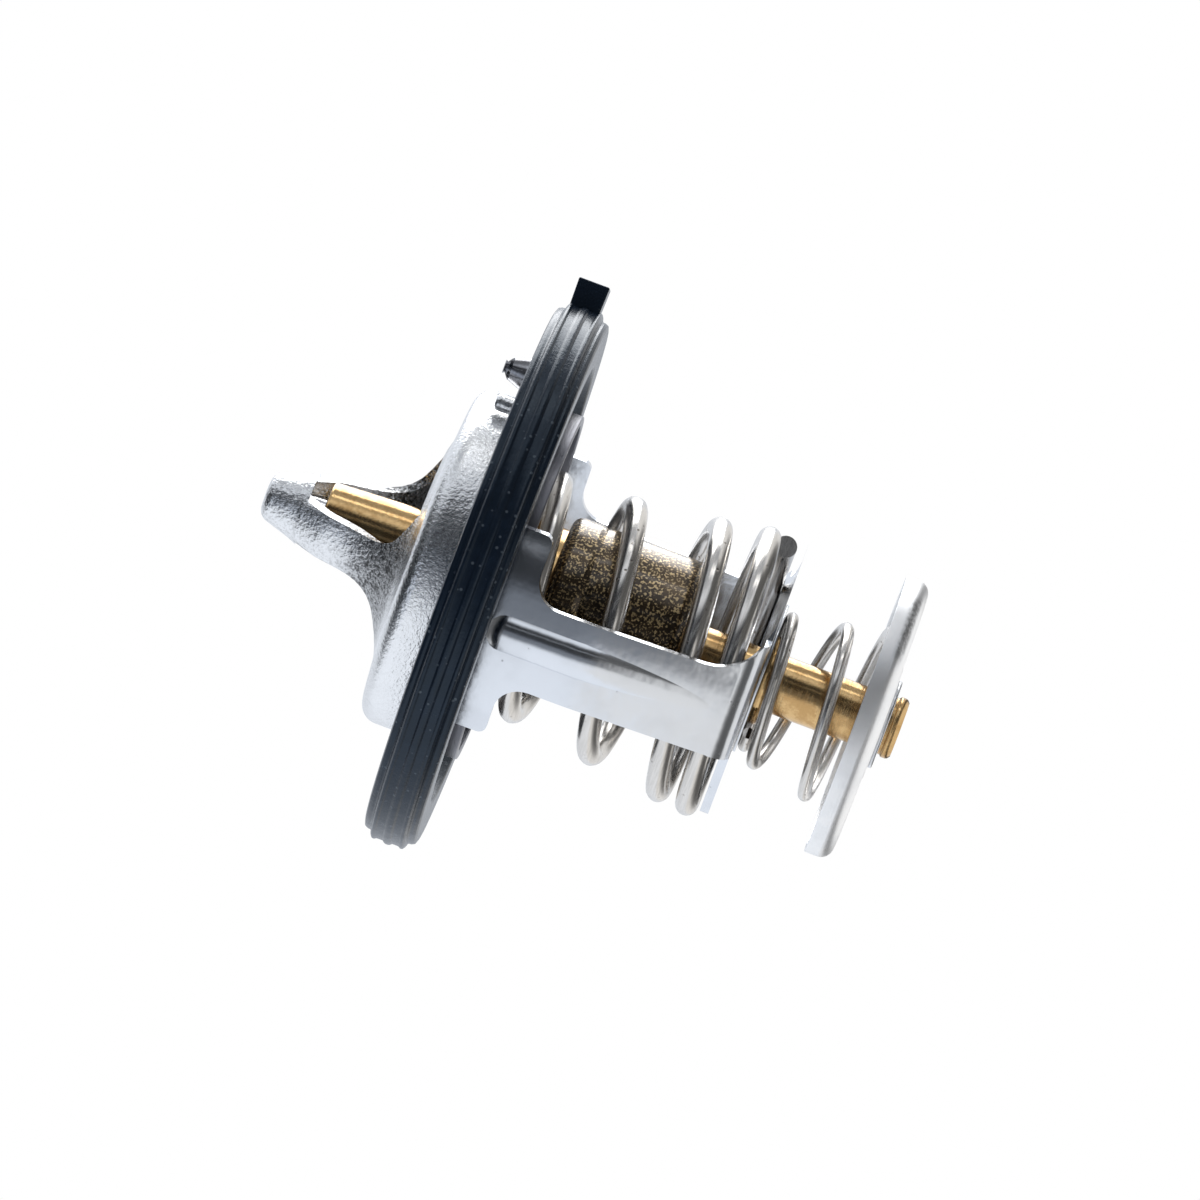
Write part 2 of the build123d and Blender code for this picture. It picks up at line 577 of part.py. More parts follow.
bypass_spring = coil(BYPASS_HALF_TURNS, BYPASS_SHARES, BYPASS_WIDENING, BYPASS_LEANING, BYPASS_WIRE, BYPASS_LEAN,
                     (seat_low, disc_inside), (BYPASS_SMALL_RADIUS, BYPASS_LARGE_RADIUS))

parts = {
    "upper_frame": upper_frame,
    "lower_frame": lower_frame,
    "gasket": gasket,
    "jiggle_pin": jiggle_pin,
    "main_valve": main_valve,
    "main_spring": main_spring,
    "element_guide": element_guide,
    "element_case": element_case,
    "rubber_boot": rubber_boot,
    "backup_ring": backup_ring,
    "piston_wiper": wiper,
    "wax_charge": wax_charge,
    "piston": piston,
    "bypass_rod": bypass_rod,
    "spring_seat": spring_seat,
    "rod_collar": rod_collar,
    "bypass_spring": bypass_spring,
    "bypass_disc": bypass_disc,
    "retaining_clip": retaining_clip,
}
os.makedirs("parts", exist_ok=True)
for name, shape in parts.items():
    export_step(shape, f"parts/{name}.step")
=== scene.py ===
import math

import bpy
import bmesh
from mathutils import Matrix, Vector


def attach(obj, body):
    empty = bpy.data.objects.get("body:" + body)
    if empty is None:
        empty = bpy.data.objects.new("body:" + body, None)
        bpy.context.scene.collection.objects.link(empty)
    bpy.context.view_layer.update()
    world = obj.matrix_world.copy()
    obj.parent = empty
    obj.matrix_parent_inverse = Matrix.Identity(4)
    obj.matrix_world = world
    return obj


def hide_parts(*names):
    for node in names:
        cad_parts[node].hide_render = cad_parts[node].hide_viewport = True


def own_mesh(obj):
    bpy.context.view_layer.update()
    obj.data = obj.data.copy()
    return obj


bl_info = {
    "name": "Coolant Valve Builder",
    "version": (1, 0, 0),
    "blender": (4, 5, 0),
    "location": "View3D > Sidebar > Coolant Valve",
    "description": "Builds the pieces, finishes and studio of a wax element coolant valve",
    "category": "Object",
}

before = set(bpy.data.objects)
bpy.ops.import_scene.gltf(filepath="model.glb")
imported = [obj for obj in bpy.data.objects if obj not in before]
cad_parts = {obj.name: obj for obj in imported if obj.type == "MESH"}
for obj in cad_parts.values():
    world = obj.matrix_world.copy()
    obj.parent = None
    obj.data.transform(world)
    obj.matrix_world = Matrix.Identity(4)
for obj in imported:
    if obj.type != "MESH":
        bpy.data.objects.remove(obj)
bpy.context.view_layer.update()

# Lengths are in millimetres until MM turns them into metres, and angles are in degrees
MM = 0.001
SIDES = 192

# Corners nearer than this are one corner, in metres, and faces that meet flatter are smooth
CLOSE = 2e-6
SMOOTH_BELOW = 32.0

# Sizes and places that several pieces share
HALF_SHEET = 0.4
BELL_RADIUS = 17.75
NOSE_TOP = 23.6
LIP_TOP = 2.75
VALVE_TOP = -0.45
WEB_UNDER = -1.35
CAGE_SHEET = 0.9
FOOT_LOW = -5.6
PLATE_INSIDE = -28.1
PLATE_OUTSIDE = -29.0
SEAT_LOW = -29.35
DISC_INSIDE = -41.15
CASE_FOOT = -19.7
CASE_LOW = -20.5
CLIP_TOP = -42.23
CLIP_LOW = -42.63
PISTON_RADIUS = 1.6
ROD_RADIUS = 3.0
ROD_NECK = 2.5
ROD_LOW = -44.0
PIN_PLACE = 20.275
BRIDGE_ANGLE = -121.0
LEG_ANGLE = -105.5
BEAD_TURN = 1.8
TENON_TURN = 23.0

# The photograph's camera, and the floor
PHOTO_LEAN = math.radians(20.5)
PHOTO_UP = Vector((math.cos(PHOTO_LEAN), 0, math.sin(PHOTO_LEAN)))
PHOTO_SIDE = Vector((-math.sin(PHOTO_LEAN), 0, math.cos(PHOTO_LEAN)))
PHOTO_CENTRE = (1.7, 0.0, -11.4)
PHOTO_FOOT = (1.7, -750.0, -27.8)
PHOTO_LENS = 225.0
FLOOR_HEIGHT = -52.5

# The studio: light levels by degrees round the camera, by height, and where each one rules
AROUND_LEVELS = [(-180, 0.8), (-128, 0.8), (-114, 0.08), (-68, 0.05), (-60, 0.7), (-44, 0.7)]
AROUND_LEVELS += [(-34, 0.12), (0, 0.2), (26, 0.12), (34, 0.6), (50, 0.6), (58, 0.05), (104, 0.08)]
AROUND_LEVELS += [(122, 0.8), (180, 0.8)]
ABOVE_LEVELS = [(-1.0, 0.95), (-0.4, 0.9), (0.3, 0.9), (0.82, 0.9), (0.90, 0.45), (1.0, 0.42)]
BAND_SHARES = [(-1.0, 0.0), (-0.50, 0.0), (-0.38, 0.5), (-0.27, 1.0), (0.38, 1.0), (0.41, 0.3), (0.44, 1.0)]
BAND_SHARES += [(0.58, 1.0), (0.78, 0.0)]
DEPTH_SHARES = [(-1.0, 1.0), (-0.1, 1.0), (0.12, 0.15), (0.6, 0.12), (1.0, 0.3)]


def size(name, text, value, low=0.0):
    """A length in millimetres that the user can change."""
    return bpy.props.FloatProperty(name=name, description=text, default=value, min=low)


def tint(name, text, value):
    """A colour that the user can change."""
    return bpy.props.FloatVectorProperty(
        name=name, description=text, default=value, min=0.0, max=1.0, size=3, subtype="COLOR"
    )


class CoolantValveSizes(bpy.types.PropertyGroup):
    edge_round: size("Sheet Edge Round", "Rounding of the stamped edges, in mm", 0.12)
    ridge_rise: size("Rim Ridge Rise", "How far the rim's middle ridge stands out, in mm", 0.22)
    main_wire: size("Main Wire", "Diameter of the main spring's wire, in mm", 2.3, 0.5)
    bypass_wire: size("Bypass Wire", "Diameter of the bypass spring's wire, in mm", 1.3, 0.3)
    grain_size: size("Drawn Grain", "Size of the grain on the drawn steel, in mm", 0.34, 0.05)


class CoolantValveColours(bpy.types.PropertyGroup):
    drawn_steel: tint("Drawn Steel", "Colour of the flange, bell and nose", (0.85, 0.855, 0.86))
    cage_steel: tint("Cage Steel", "Colour of the lower frame", (0.75, 0.77, 0.80))
    spring_steel: tint("Spring Steel", "Colour of the spring wire", (0.74, 0.71, 0.67))
    brass: tint("Brass", "Colour of the guide, rod and collar", (0.70, 0.47, 0.22))
    case_brown: tint("Case Brown", "Dark colour of the element's case", (0.045, 0.030, 0.016))
    case_gold: tint("Case Gold", "Colour of the specks on the case", (0.62, 0.46, 0.24))
    rubber: tint("Rubber", "Colour of the gasket", (0.007, 0.013, 0.024))


# Modelling the pieces: each helper leaves one new object, selected and in object mode


def deselect():
    """Nothing stays selected, so that an operator acts on the new piece alone."""
    if bpy.context.object and bpy.context.object.mode != "OBJECT":
        bpy.ops.object.mode_set(mode="OBJECT")
    bpy.ops.object.select_all(action="DESELECT")


def select_only(piece):
    """Makes one piece the only selected and active one."""
    deselect()
    piece.select_set(True)
    bpy.context.view_layer.objects.active = piece


def settle(piece, name):
    """Names the piece, and puts its place into its mesh."""
    select_only(piece)
    bpy.ops.object.transform_apply(location=True, rotation=True, scale=True)
    piece.name = name
    piece.data.name = name
    return piece


def rounded(points, radii, steps=8):
    """The corners of an open line, with an arc of the given radius at each inner corner."""
    line = [points[0]]
    for before, corner, after, radius in zip(points, points[1:], points[2:], radii):
        here = Vector(corner)
        toward, onward = (Vector(before) - here), (Vector(after) - here)
        turn = math.pi - toward.angle(onward)
        if radius <= 0 or turn < 1e-4:
            line.append(corner)
            continue
        reach = radius * math.tan(turn / 2)
        start = here + toward.normalized() * reach
        finish = here + onward.normalized() * reach
        inward = (toward.normalized() + onward.normalized()).normalized()
        middle = here + inward * (radius / math.cos(turn / 2))
        arm_a, arm_b = start - middle, finish - middle
        for step in range(steps + 1):
            share = step / steps
            arm = arm_a * math.sin((1 - share) * turn) + arm_b * math.sin(share * turn)
            line.append(tuple(middle + arm / math.sin(turn)))
    line.append(points[-1])
    return line


def beside(points, radii, sheet):
    """A line on the right hand side of another at the sheet's thickness, and its radii."""
    runs = []
    for a, b in zip(points, points[1:]):
        step = (Vector(b) - Vector(a)).normalized()
        runs.append((Vector(a) + Vector((step.y, -step.x)) * sheet, step))
    corners, sizes = [tuple(runs[0][0])], []
    for (p, d), (q, e), radius in zip(runs, runs[1:], radii):
        cross = d.x * e.y - d.y * e.x
        along = ((q.x - p.x) * e.y - (q.y - p.y) * e.x) / cross
        corners.append(tuple(p + d * along))
        sizes.append(radius - sheet if cross < 0 else radius + sheet)
    last = Vector(points[-1]) + Vector((runs[-1][1].y, -runs[-1][1].x)) * sheet
    corners.append(tuple(last))
    return corners, sizes


def sheet_line(points, radii, sheet, steps=8):
    """The closed outline of a bent sheet: its outer line, and back along its inner line."""
    inner, inner_radii = beside(points, radii, sheet)
    least_radius = 0.05
    inner_line = rounded(inner, [max(radius, least_radius) for radius in inner_radii], steps)
    return rounded(points, radii, steps) + inner_line[::-1]


def close_up():
    """Merges corners that fall together, turns all faces outward and leaves edit mode."""
    bpy.ops.mesh.select_all(action="SELECT")
    bpy.ops.mesh.remove_doubles(threshold=CLOSE)
    bpy.ops.mesh.normals_make_consistent(inside=False)
    bpy.ops.object.mode_set(mode="OBJECT")


def lathe(name, line, closed=False, sides=SIDES):
    """A ring of the first radius, drawn out along a line of (radius, height) points."""
    deselect()
    radius, height = line[0]
    bpy.ops.mesh.primitive_circle_add(vertices=sides, radius=radius * MM, location=(0, 0, height * MM))
    piece = settle(bpy.context.object, name)
    bpy.ops.object.mode_set(mode="EDIT")
    bpy.ops.mesh.select_mode(type="EDGE")
    bpy.ops.mesh.select_all(action="SELECT")
    if not closed:
        bpy.ops.mesh.edge_face_add()
    path = line + [line[0]] if closed else line
    for (radius, height), (next_radius, next_height) in zip(path, path[1:]):
        rise = (next_height - height) * MM
        grow = next_radius / radius
        bpy.ops.mesh.extrude_edges_move(TRANSFORM_OT_translate={"value": (0, 0, rise)})
        bpy.ops.transform.resize(value=(grow, grow, 1), center_override=(0, 0, next_height * MM))
    if not closed:
        bpy.ops.mesh.edge_face_add()
    close_up()
    return piece


def outline_block(name, points, low, high):
    """A flat outline in X and Y, drawn up from one height to another."""
    deselect()
    bpy.ops.mesh.primitive_circle_add(vertices=len(points), radius=MM, fill_type="NGON")
    piece = bpy.context.object
    for vertex, (x, y) in zip(piece.data.vertices, points):
        vertex.co = (x * MM, y * MM, low * MM)
    bpy.ops.object.mode_set(mode="EDIT")
    bpy.ops.mesh.select_all(action="SELECT")
    bpy.ops.mesh.extrude_region_move(TRANSFORM_OT_translate={"value": (0, 0, (high - low) * MM)})
    bpy.ops.mesh.select_all(action="SELECT")
    bpy.ops.mesh.normals_make_consistent(inside=False)
    bpy.ops.object.mode_set(mode="OBJECT")
    return settle(piece, name)


def turn_piece(piece, angle, axis="Z", about=(0, 0, 0)):
    """Turns a piece about an axis through a point, as its mesh."""
    turn = Matrix.Translation(Vector(about) * MM) @ Matrix.Rotation(math.radians(angle), 4, axis)
    piece.data.transform(turn @ Matrix.Translation(-Vector(about) * MM))
    piece.data.update()


def cut(piece, tool, how="DIFFERENCE"):
    """Cuts a piece with a tool, which is then gone."""
    select_only(piece)
    modifier = piece.modifiers.new("Cut", "BOOLEAN")
    modifier.operation = how
    modifier.solver = "EXACT"
    modifier.object = tool
    bpy.ops.object.modifier_apply(modifier="Cut")
    bpy.data.objects.remove(tool, do_unlink=True)


def join(piece, other):
    """Makes two meshes one piece."""
    select_only(piece)
    other.select_set(True)
    bpy.ops.object.join()


def merge_close(piece):
    """Merges corners that fall together and drops faces without an area."""
    select_only(piece)
    bpy.ops.object.mode_set(mode="EDIT")
    bpy.ops.mesh.select_all(action="SELECT")
    bpy.ops.mesh.remove_doubles(threshold=CLOSE)
    bpy.ops.mesh.dissolve_degenerate(threshold=CLOSE)
    bpy.ops.object.mode_set(mode="OBJECT")


def smooth(piece, angle=40.0):
    """Shades a piece smoothly across the edges that are flatter than an angle."""
    select_only(piece)
    bpy.ops.object.shade_smooth_by_angle(angle=math.radians(angle))


def soften(piece, width, angle=40.0, segments=2):
    """Rounds the edges sharper than an angle, and shades the rest smoothly."""
    select_only(piece)
    if width > 0:
        modifier = piece.modifiers.new("Round", "BEVEL")
        modifier.width = width * MM
        modifier.segments = segments
        modifier.limit_method = "ANGLE"
        modifier.angle_limit = math.radians(angle)
        modifier.miter_outer = "MITER_ARC"
        modifier.harden_normals = False
        bpy.ops.object.modifier_apply(modifier="Round")
    merge_close(piece)
    smooth(piece, SMOOTH_BELOW)
    modifier = piece.modifiers.new("Even", "WEIGHTED_NORMAL")
    modifier.keep_sharp = True
    bpy.ops.object.modifier_apply(modifier="Even")


def finish_piece(piece, body, slot, material, *nodes):
    """Gives a piece its material, the body it rides on and the nodes that it stands for."""
    if not piece.data.polygons:
        raise RuntimeError("the piece " + piece.name + " is empty")
    piece.data.materials.clear()
    piece.data.materials.append(material)
    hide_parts(*nodes)
    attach(piece, body)


def block(name, low, high):
    """A square block between two corners."""
    deselect()
    middle = [(a + b) / 2 * MM for a, b in zip(low, high)]
    spans = [(b - a) * MM for a, b in zip(low, high)]
    bpy.ops.mesh.primitive_cube_add(size=1, location=middle)
    bpy.context.object.scale = spans
    return settle(bpy.context.object, name)


def rod(name, radius, low, high, place=(0, 0), sides=48):
    """A round bar between two heights."""
    deselect()
    middle = (place[0] * MM, place[1] * MM, (low + high) / 2 * MM)
    depth = (high - low) * MM
    bpy.ops.mesh.primitive_cylinder_add(vertices=sides, radius=radius * MM, depth=depth, location=middle)
    return settle(bpy.context.object, name)


def between(x, xs, ys):
    """The value at x on the line through the points (xs, ys)."""
    for xa, xb, ya, yb in zip(xs, xs[1:], ys, ys[1:]):
        if x <= xb:
            break
    return ya + (yb - ya) * (x - xa) / (xb - xa)


def wire_coil(name, rows, wire, top, bottom, a_turn=44):
    """A round wire wound about Z from the top down, and the middles of its square cut ends. The
    rows give its half turns, shares of the height, outer radii and leans toward -X."""
    half_turns, smoothing_passes = rows[0], 6
    first, last = half_turns[0], half_turns[-1]
    steps = round((last - first) / 2 * a_turn)
    turns = [first + (last - first) * step / steps for step in range(steps + 1)]
    tracks = []
    for row in rows[1:]:
        track = [between(turn, half_turns, row) for turn in turns]
        for _ in range(smoothing_passes):
            inner = [(a + 2 * b + c) / 4 for a, b, c in zip(track, track[1:], track[2:])]
            track = [track[0], *inner, track[-1]]
        tracks.append(track)
    deselect()
    bpy.ops.curve.primitive_nurbs_path_add()
    path = bpy.context.object
    path.data.splines.clear()
    spline = path.data.splines.new("POLY")
    spline.points.add(steps)
    for point, turn, share, radius, lean in zip(spline.points, turns, *tracks):
        angle = -math.pi * turn
        reach = radius - wire / 2
        height = top - wire / 2 - (top - bottom - wire) * share
        point.co = ((reach * math.cos(angle) - lean) * MM, reach * math.sin(angle) * MM, height * MM, 1)
    tips = [spline.points[0].co.xyz, spline.points[-1].co.xyz]
    path.data.dimensions = "3D"
    path.data.twist_mode = "Z_UP"
    path.data.bevel_depth = wire / 2 * MM
    path.data.bevel_resolution = 8
    path.data.use_fill_caps = True
    bpy.ops.object.convert(target="MESH")
    piece = settle(bpy.context.object, name)
    bpy.ops.object.mode_set(mode="EDIT")
    close_up()
    return piece, tips


# Shader maths as Python expressions


class Val:
    """A value socket that can be used in sums."""

    def __init__(self, paint, socket):
        self.paint = paint
        self.socket = socket

    def maths(self, operation, one, other):
        """The result of a sum of two values, of which this may be either."""
        node = self.paint.node("ShaderNodeMath", {"operation": operation}, {0: one, 1: other})
        return Val(self.paint, node.outputs[0])

    def most(self, other):
        """The larger of this and another value."""
        return self.maths("MAXIMUM", self, other)

    def __add__(self, other):
        return self.maths("ADD", self, other)

    def __mul__(self, other):
        return self.maths("MULTIPLY", self, other)

    def __truediv__(self, other):
        return self.maths("DIVIDE", self, other)

    def __pow__(self, other):
        return self.maths("POWER", self, other)

    def __rsub__(self, other):
        return self.maths("SUBTRACT", other, self)

    def over(self, low, high):
        """0 below low, 1 above high and smooth between."""
        span = {0: self, 1: low, 2: high, 3: 0.0, 4: 1.0}
        node = self.paint.node("ShaderNodeMapRange", {"interpolation_type": "SMOOTHSTEP"}, span)
        return Val(self.paint, node.outputs[0])


class Nodes:
    """A node tree: its nodes are added by name and fed by values, colours or other nodes."""

    def __init__(self, tree):
        self.tree = tree

    def feed(self, socket, value):
        """Links a socket to another, or sets its value."""
        source = value.socket if isinstance(value, Val) else value
        if isinstance(source, bpy.types.NodeSocket):
            self.tree.links.new(source, socket)
        elif socket.type == "RGBA" and len(source) == 3:
            socket.default_value = (*source, 1.0)
        else:
            socket.default_value = source

    def node(self, kind, settings=None, inputs=None):
        """Any node: its settings first, then the values or links of its sockets."""
        node = self.tree.nodes.new(kind)
        for key, value in (settings or {}).items():
            setattr(node, key, value)
        for key, value in (inputs or {}).items():
            self.feed(node.inputs[key], value)
        return node

    def mix(self, share, one, other, blend="MIX"):
        """A colour between two colours."""
        settings = {"data_type": "RGBA", "blend_type": blend}
        return self.node("ShaderNodeMix", settings, {0: share, 6: one, 7: other}).outputs[2]


class Paint(Nodes):
    """One material. Its place is the object's own, in millimetres."""

    def __init__(self, name):
        self.material = bpy.data.materials.new(name)
        self.material.use_nodes = True
        super().__init__(self.material.node_tree)
        self.shader = self.tree.nodes["Principled BSDF"]
        place = self.node("ShaderNodeTexCoord").outputs["Object"]
        scaled = self.node("ShaderNodeMapping", {}, {"Vector": place, "Scale": (1 / MM,) * 3})
        self.place = scaled.outputs[0]
        split = self.node("ShaderNodeSeparateXYZ", {}, {0: self.place})
        self.x, self.y, self.z = (Val(self, output) for output in split.outputs)
        self.radius = (self.x * self.x + self.y * self.y) ** 0.5

    def spread(self, scale, shift):
        """The place, scaled and moved on."""
        inputs = {"Vector": self.place, "Scale": scale, "Location": (shift,) * 3}
        return self.node("ShaderNodeMapping", {}, inputs).outputs[0]

    def noise(self, grain, detail=3.0, rough=0.55, stretch=(1, 1, 1), shift=0.0):
        """Soft noise with features of about the given size in mm."""
        where = self.spread(tuple(s / grain for s in stretch), shift)
        inputs = {"Vector": where, "Scale": 1.0, "Detail": detail, "Roughness": rough}
        return Val(self, self.node("ShaderNodeTexNoise", {}, inputs).outputs[0])

    def cells(self, grain, shift):
        """Cells of about the given size in mm: the distance to the nearest middle."""
        inputs = {"Vector": self.spread((1 / grain,) * 3, shift), "Scale": 1.0, "Randomness": 1.0}
        return Val(self, self.node("ShaderNodeTexVoronoi", {"feature": "F1"}, inputs).outputs["Distance"])

    def bump(self, height, depth, strength=1.0, onto=None):
        """A relief of the given depth in mm."""
        inputs = {"Height": height, "Distance": depth * MM, "Strength": strength}
        if onto is not None:
            inputs["Normal"] = onto
        return self.node("ShaderNodeBump", {}, inputs).outputs[0]

    def finish(self, **sockets):
        """Feeds the shader's sockets and gives the material."""
        for name, value in sockets.items():
            self.feed(self.shader.inputs[name.replace("_", " ")], value)
        return self.material


def sizes():
    """The lengths that the user can change."""
    return bpy.context.scene.coolant_valve_sizes


def colour(name):
    """One of the colours that the user can change."""
    return tuple(getattr(bpy.context.scene.coolant_valve_colours, name))


def toned(main, factor):
    """A darker or lighter tone of a colour."""
    return tuple(level * factor for level in main)


def drawn_steel_paint():
    """Satin drawn steel: smooth on the flange, with an orange-peel grain where it was stretched and painted
    shade in the flare.
    """
    p = Paint("DrawnSteel")
    steel = colour("drawn_steel")
    flare = p.z.over(7.4, 8.6) * (1 - p.z.over(10.5, 16.0)) * (1 - p.radius.over(13.5, 16.5))
    stretched = p.z.over(8.0, 10.0)
    raised = p.z.over(0.6, 3.0)
    grain = sizes().grain_size
    peel = p.noise(grain, 2.0, 0.6) + p.noise(grain * 2.3, 1.0, 0.5, shift=4.0) * 0.5
    fine = p.noise(0.12, 1.0, 0.5, shift=9.0)
    cloud = p.noise(5.0, 3.0, 0.6, shift=3.0)
    share = (flare * 0.8 + stretched * 0.2 + 0.4) * raised
    relief = p.bump(peel * share, 0.17)
    relief = p.bump(fine, 0.006, 1.0, relief)
    pits = (1 - peel.over(0.55, 0.80)) * share
    # Painted shade: the concave flare is darkened where it would reflect the dark parts round it
    base = p.mix(flare * 0.55, steel, toned(steel, 0.35))
    # The grain's pits are darkened partly as real pits and partly as painted shade, most in the flare
    base = p.mix(pits * (flare * 0.6 + stretched * 0.2 + 0.10), base, toned(steel, 0.10))
    base = p.mix(cloud.over(0.45, 0.75) * 0.2, base, toned(steel, 0.8))
    rough = cloud * 0.08 + fine * 0.05 + 0.17
    return p.finish(Base_Color=base, Metallic=1.0, Roughness=rough, Normal=relief)


def cage_steel_paint():
    """Polished strip: faint lengthwise rolling lines, scuffs and a cool tone."""
    p = Paint("CageSteel")
    steel = colour("cage_steel")
    lines = p.noise(0.8, 2.0, 0.5, stretch=(1, 1, 0.02))
    cloud = p.noise(4.0, 3.0, 0.6, shift=2.0)
    specks = p.cells(1.3, shift=3.0)
    scuff = (1 - specks.over(0.05, 0.13)) * cloud.over(0.5, 0.62)
    relief = p.bump(lines, 0.004)
    relief = p.bump(cloud, 0.05, 1.0, relief)
    base = p.mix(cloud.over(0.4, 0.7) * 0.4, steel, toned(steel, 0.88))
    base = p.mix(scuff * 0.6, base, toned(steel, 0.45))
    rough = cloud * 0.10 + lines * 0.06 + 0.10 + scuff * 0.2
    return p.finish(Base_Color=base, Metallic=1.0, Roughness=rough, Normal=relief)


def valve_steel_paint(name="ValveSteel", dull=0.22, stained=0.0):
    """Satin stamped steel: faint turning lines, a sheared rim, painted shade on the outer rim and, on the
    disc, a dark stain.
    """
    p = Paint(name)
    steel = toned(colour("drawn_steel"), 1.18 if stained else 1.0)
    lines = p.noise(0.22, 2.0, 0.6, stretch=(0.05, 0.05, 1))
    cloud = p.noise(3.5, 3.0, 0.6, shift=6.0)
    sheared = p.noise(0.3, 2.0, 0.7, shift=1.0)
    relief = p.bump(lines, 0.008)
    relief = p.bump(sheared, 0.02, 0.6, relief)
    base = p.mix(cloud.over(0.4, 0.7) * 0.4, steel, toned(steel, 0.84))
    # Painted shade: the outer rim is darkened as a painted reflection of the black gasket that overhangs it
    shaded_skirt = p.radius.over(17.0, 17.3) * p.z.over(-5.0, -4.0)
    base = p.mix(shaded_skirt, base, (0.22, 0.22, 0.24))
    if stained:
        rim = p.radius.over(14.2, 14.5) * (1 - p.z.over(-40.9, -40.3))
        stain = rim * p.x.over(5.0, 8.0) * (1 - p.x.over(12.0, 13.6))
        streaks = p.noise(0.5, 3.0, 0.7, stretch=(0.25, 1, 1), shift=8.0).over(0.35, 0.6)
        base = p.mix(stain * (streaks * 0.5 + 0.5) * stained, base, toned(steel, 0.2))
    rough = cloud * 0.10 + lines * 0.06 + dull
    return p.finish(Base_Color=base, Metallic=1.0, Roughness=rough, Normal=relief)


def spring_steel_paint():
    """Drawn wire: fine lines along the wire, small pits and a warm grey."""
    p = Paint("SpringSteel")
    wire = colour("spring_steel")
    lines = p.noise(0.20, 3.0, 0.65, stretch=(0.05, 0.05, 1))
    pits = p.cells(0.9, shift=5.0)
    cloud = p.noise(3.0, 3.0, 0.6)
    mark = (1 - pits.over(0.10, 0.22)) * cloud.over(0.45, 0.6)
    relief = p.bump(lines, 0.012)
    relief = p.bump(mark, -0.02, 1.0, relief)
    base = p.mix(lines.over(0.35, 0.7) * 0.4, wire, toned(wire, 0.72))
    base = p.mix(mark * 0.6, base, (0.16, 0.12, 0.09))
    rough = lines * 0.12 + cloud * 0.06 + 0.13
    return p.finish(Base_Color=base, Metallic=1.0, Roughness=rough, Normal=relief)


def cut_end_paint():
    """The dark sheared end of the wire."""
    p = Paint("WireEnd")
    rough = p.noise(0.25, 3.0, 0.7)
    base = p.mix(rough.over(0.4, 0.7), (0.006, 0.004, 0.003), (0.05, 0.036, 0.022))
    relief = p.bump(rough, 0.05)
    return p.finish(Base_Color=base, Roughness=rough * 0.2 + 0.5, Normal=relief, Specular_IOR_Level=0.15)


def brass_paint(name):
    """Turned brass: fine rings round the bar, small stains and a satin gloss."""
    p = Paint(name)
    brass = colour("brass")
    stained = (brass[0] * 0.66, brass[1] * 0.56, brass[2] * 0.44)
    rings = p.noise(0.16, 3.0, 0.7, stretch=(0.03, 0.03, 1))
    stain = p.noise(1.6, 4.0, 0.65, shift=7.0)
    speck = p.noise(0.28, 2.0, 0.6, shift=2.0)
    relief = p.bump(rings, 0.010)
    relief = p.bump(speck, 0.010, 1.0, relief)
    base = p.mix(stain.over(0.40, 0.62) * 0.6, brass, stained)
    base = p.mix(rings.over(0.5, 0.8) * 0.25, base, toned(brass, 1.12))
    rough = stain * 0.10 + rings * 0.06 + 0.08
    return p.finish(Base_Color=base, Metallic=1.0, Roughness=rough, Normal=relief)


def case_paint():
    """The element's case: dark brown, speckled with bright gold grains."""
    p = Paint("ElementBrown")
    dark, gold = colour("case_brown"), colour("case_gold")
    grain = p.noise(0.26, 1.0, 0.5)
    patch = p.noise(3.2, 3.0, 0.6, shift=8.0)
    tiny = p.cells(0.42, shift=2.0)
    bright = grain.over(0.53, 0.63) * (patch * 1.1 + 0.45)
    bright = bright + (1 - tiny.over(0.10, 0.24)) * patch.over(0.4, 0.6) * 0.5
    relief = p.bump(grain, 0.05)
    base = p.mix(bright, dark, gold)
    base = p.mix(patch.over(0.35, 0.7) * 0.35, base, (0.20, 0.135, 0.07))
    rough = grain * 0.12 + 0.26
    coat = {"Coat_Weight": 0.8, "Coat_Roughness": 0.15}
    return p.finish(Base_Color=base, Metallic=1.0, Roughness=rough, Normal=relief, **coat)


def rubber_paint():
    """Moulded rubber: near black, lengthwise sheen and pale dust specks."""
    p = Paint("GasketRubber")
    black = colour("rubber")
    cloud = p.noise(2.2, 4.0, 0.65)
    fine = p.noise(0.22, 2.0, 0.6, shift=4.0)
    dots = p.cells(1.1, shift=6.0)
    some = p.noise(2.6, 2.0, 0.5, shift=11.0)
    dust = (1 - dots.over(0.08, 0.19)) * some.over(0.36, 0.46)
    relief = p.bump(fine, 0.02)
    relief = p.bump(cloud, 0.06, 1.0, relief)
    base = p.mix(cloud.over(0.4, 0.75) * 0.5, black, toned(black, 1.8))
    base = p.mix(dust * 0.5, base, (0.16, 0.19, 0.22))
    rough = cloud * 0.10 + fine * 0.06 + 0.17
    sheen = {"Specular_IOR_Level": 0.4, "Specular_Tint": (0.70, 0.85, 1.0)}
    return p.finish(Base_Color=base, Roughness=rough, Normal=relief, **sheen)


def plain_paint(name, main, second, rough, metallic=0.0, grain=0.4, depth=0.01):
    """A small or hidden piece's finish: two close tones and a fine relief."""
    p = Paint(name)
    cloud = p.noise(grain * 4, 3.0, 0.6)
    fine = p.noise(grain, 2.0, 0.6, shift=5.0)
    base = p.mix(cloud.over(0.35, 0.65), main, second)
    relief = p.bump(fine, depth)
    return p.finish(Base_Color=base, Metallic=metallic, Roughness=fine * 0.12 + rough, Normal=relief)


class CoolantValveOperator:
    """What the builders of the pieces share."""

    bl_options = {"REGISTER", "UNDO"}


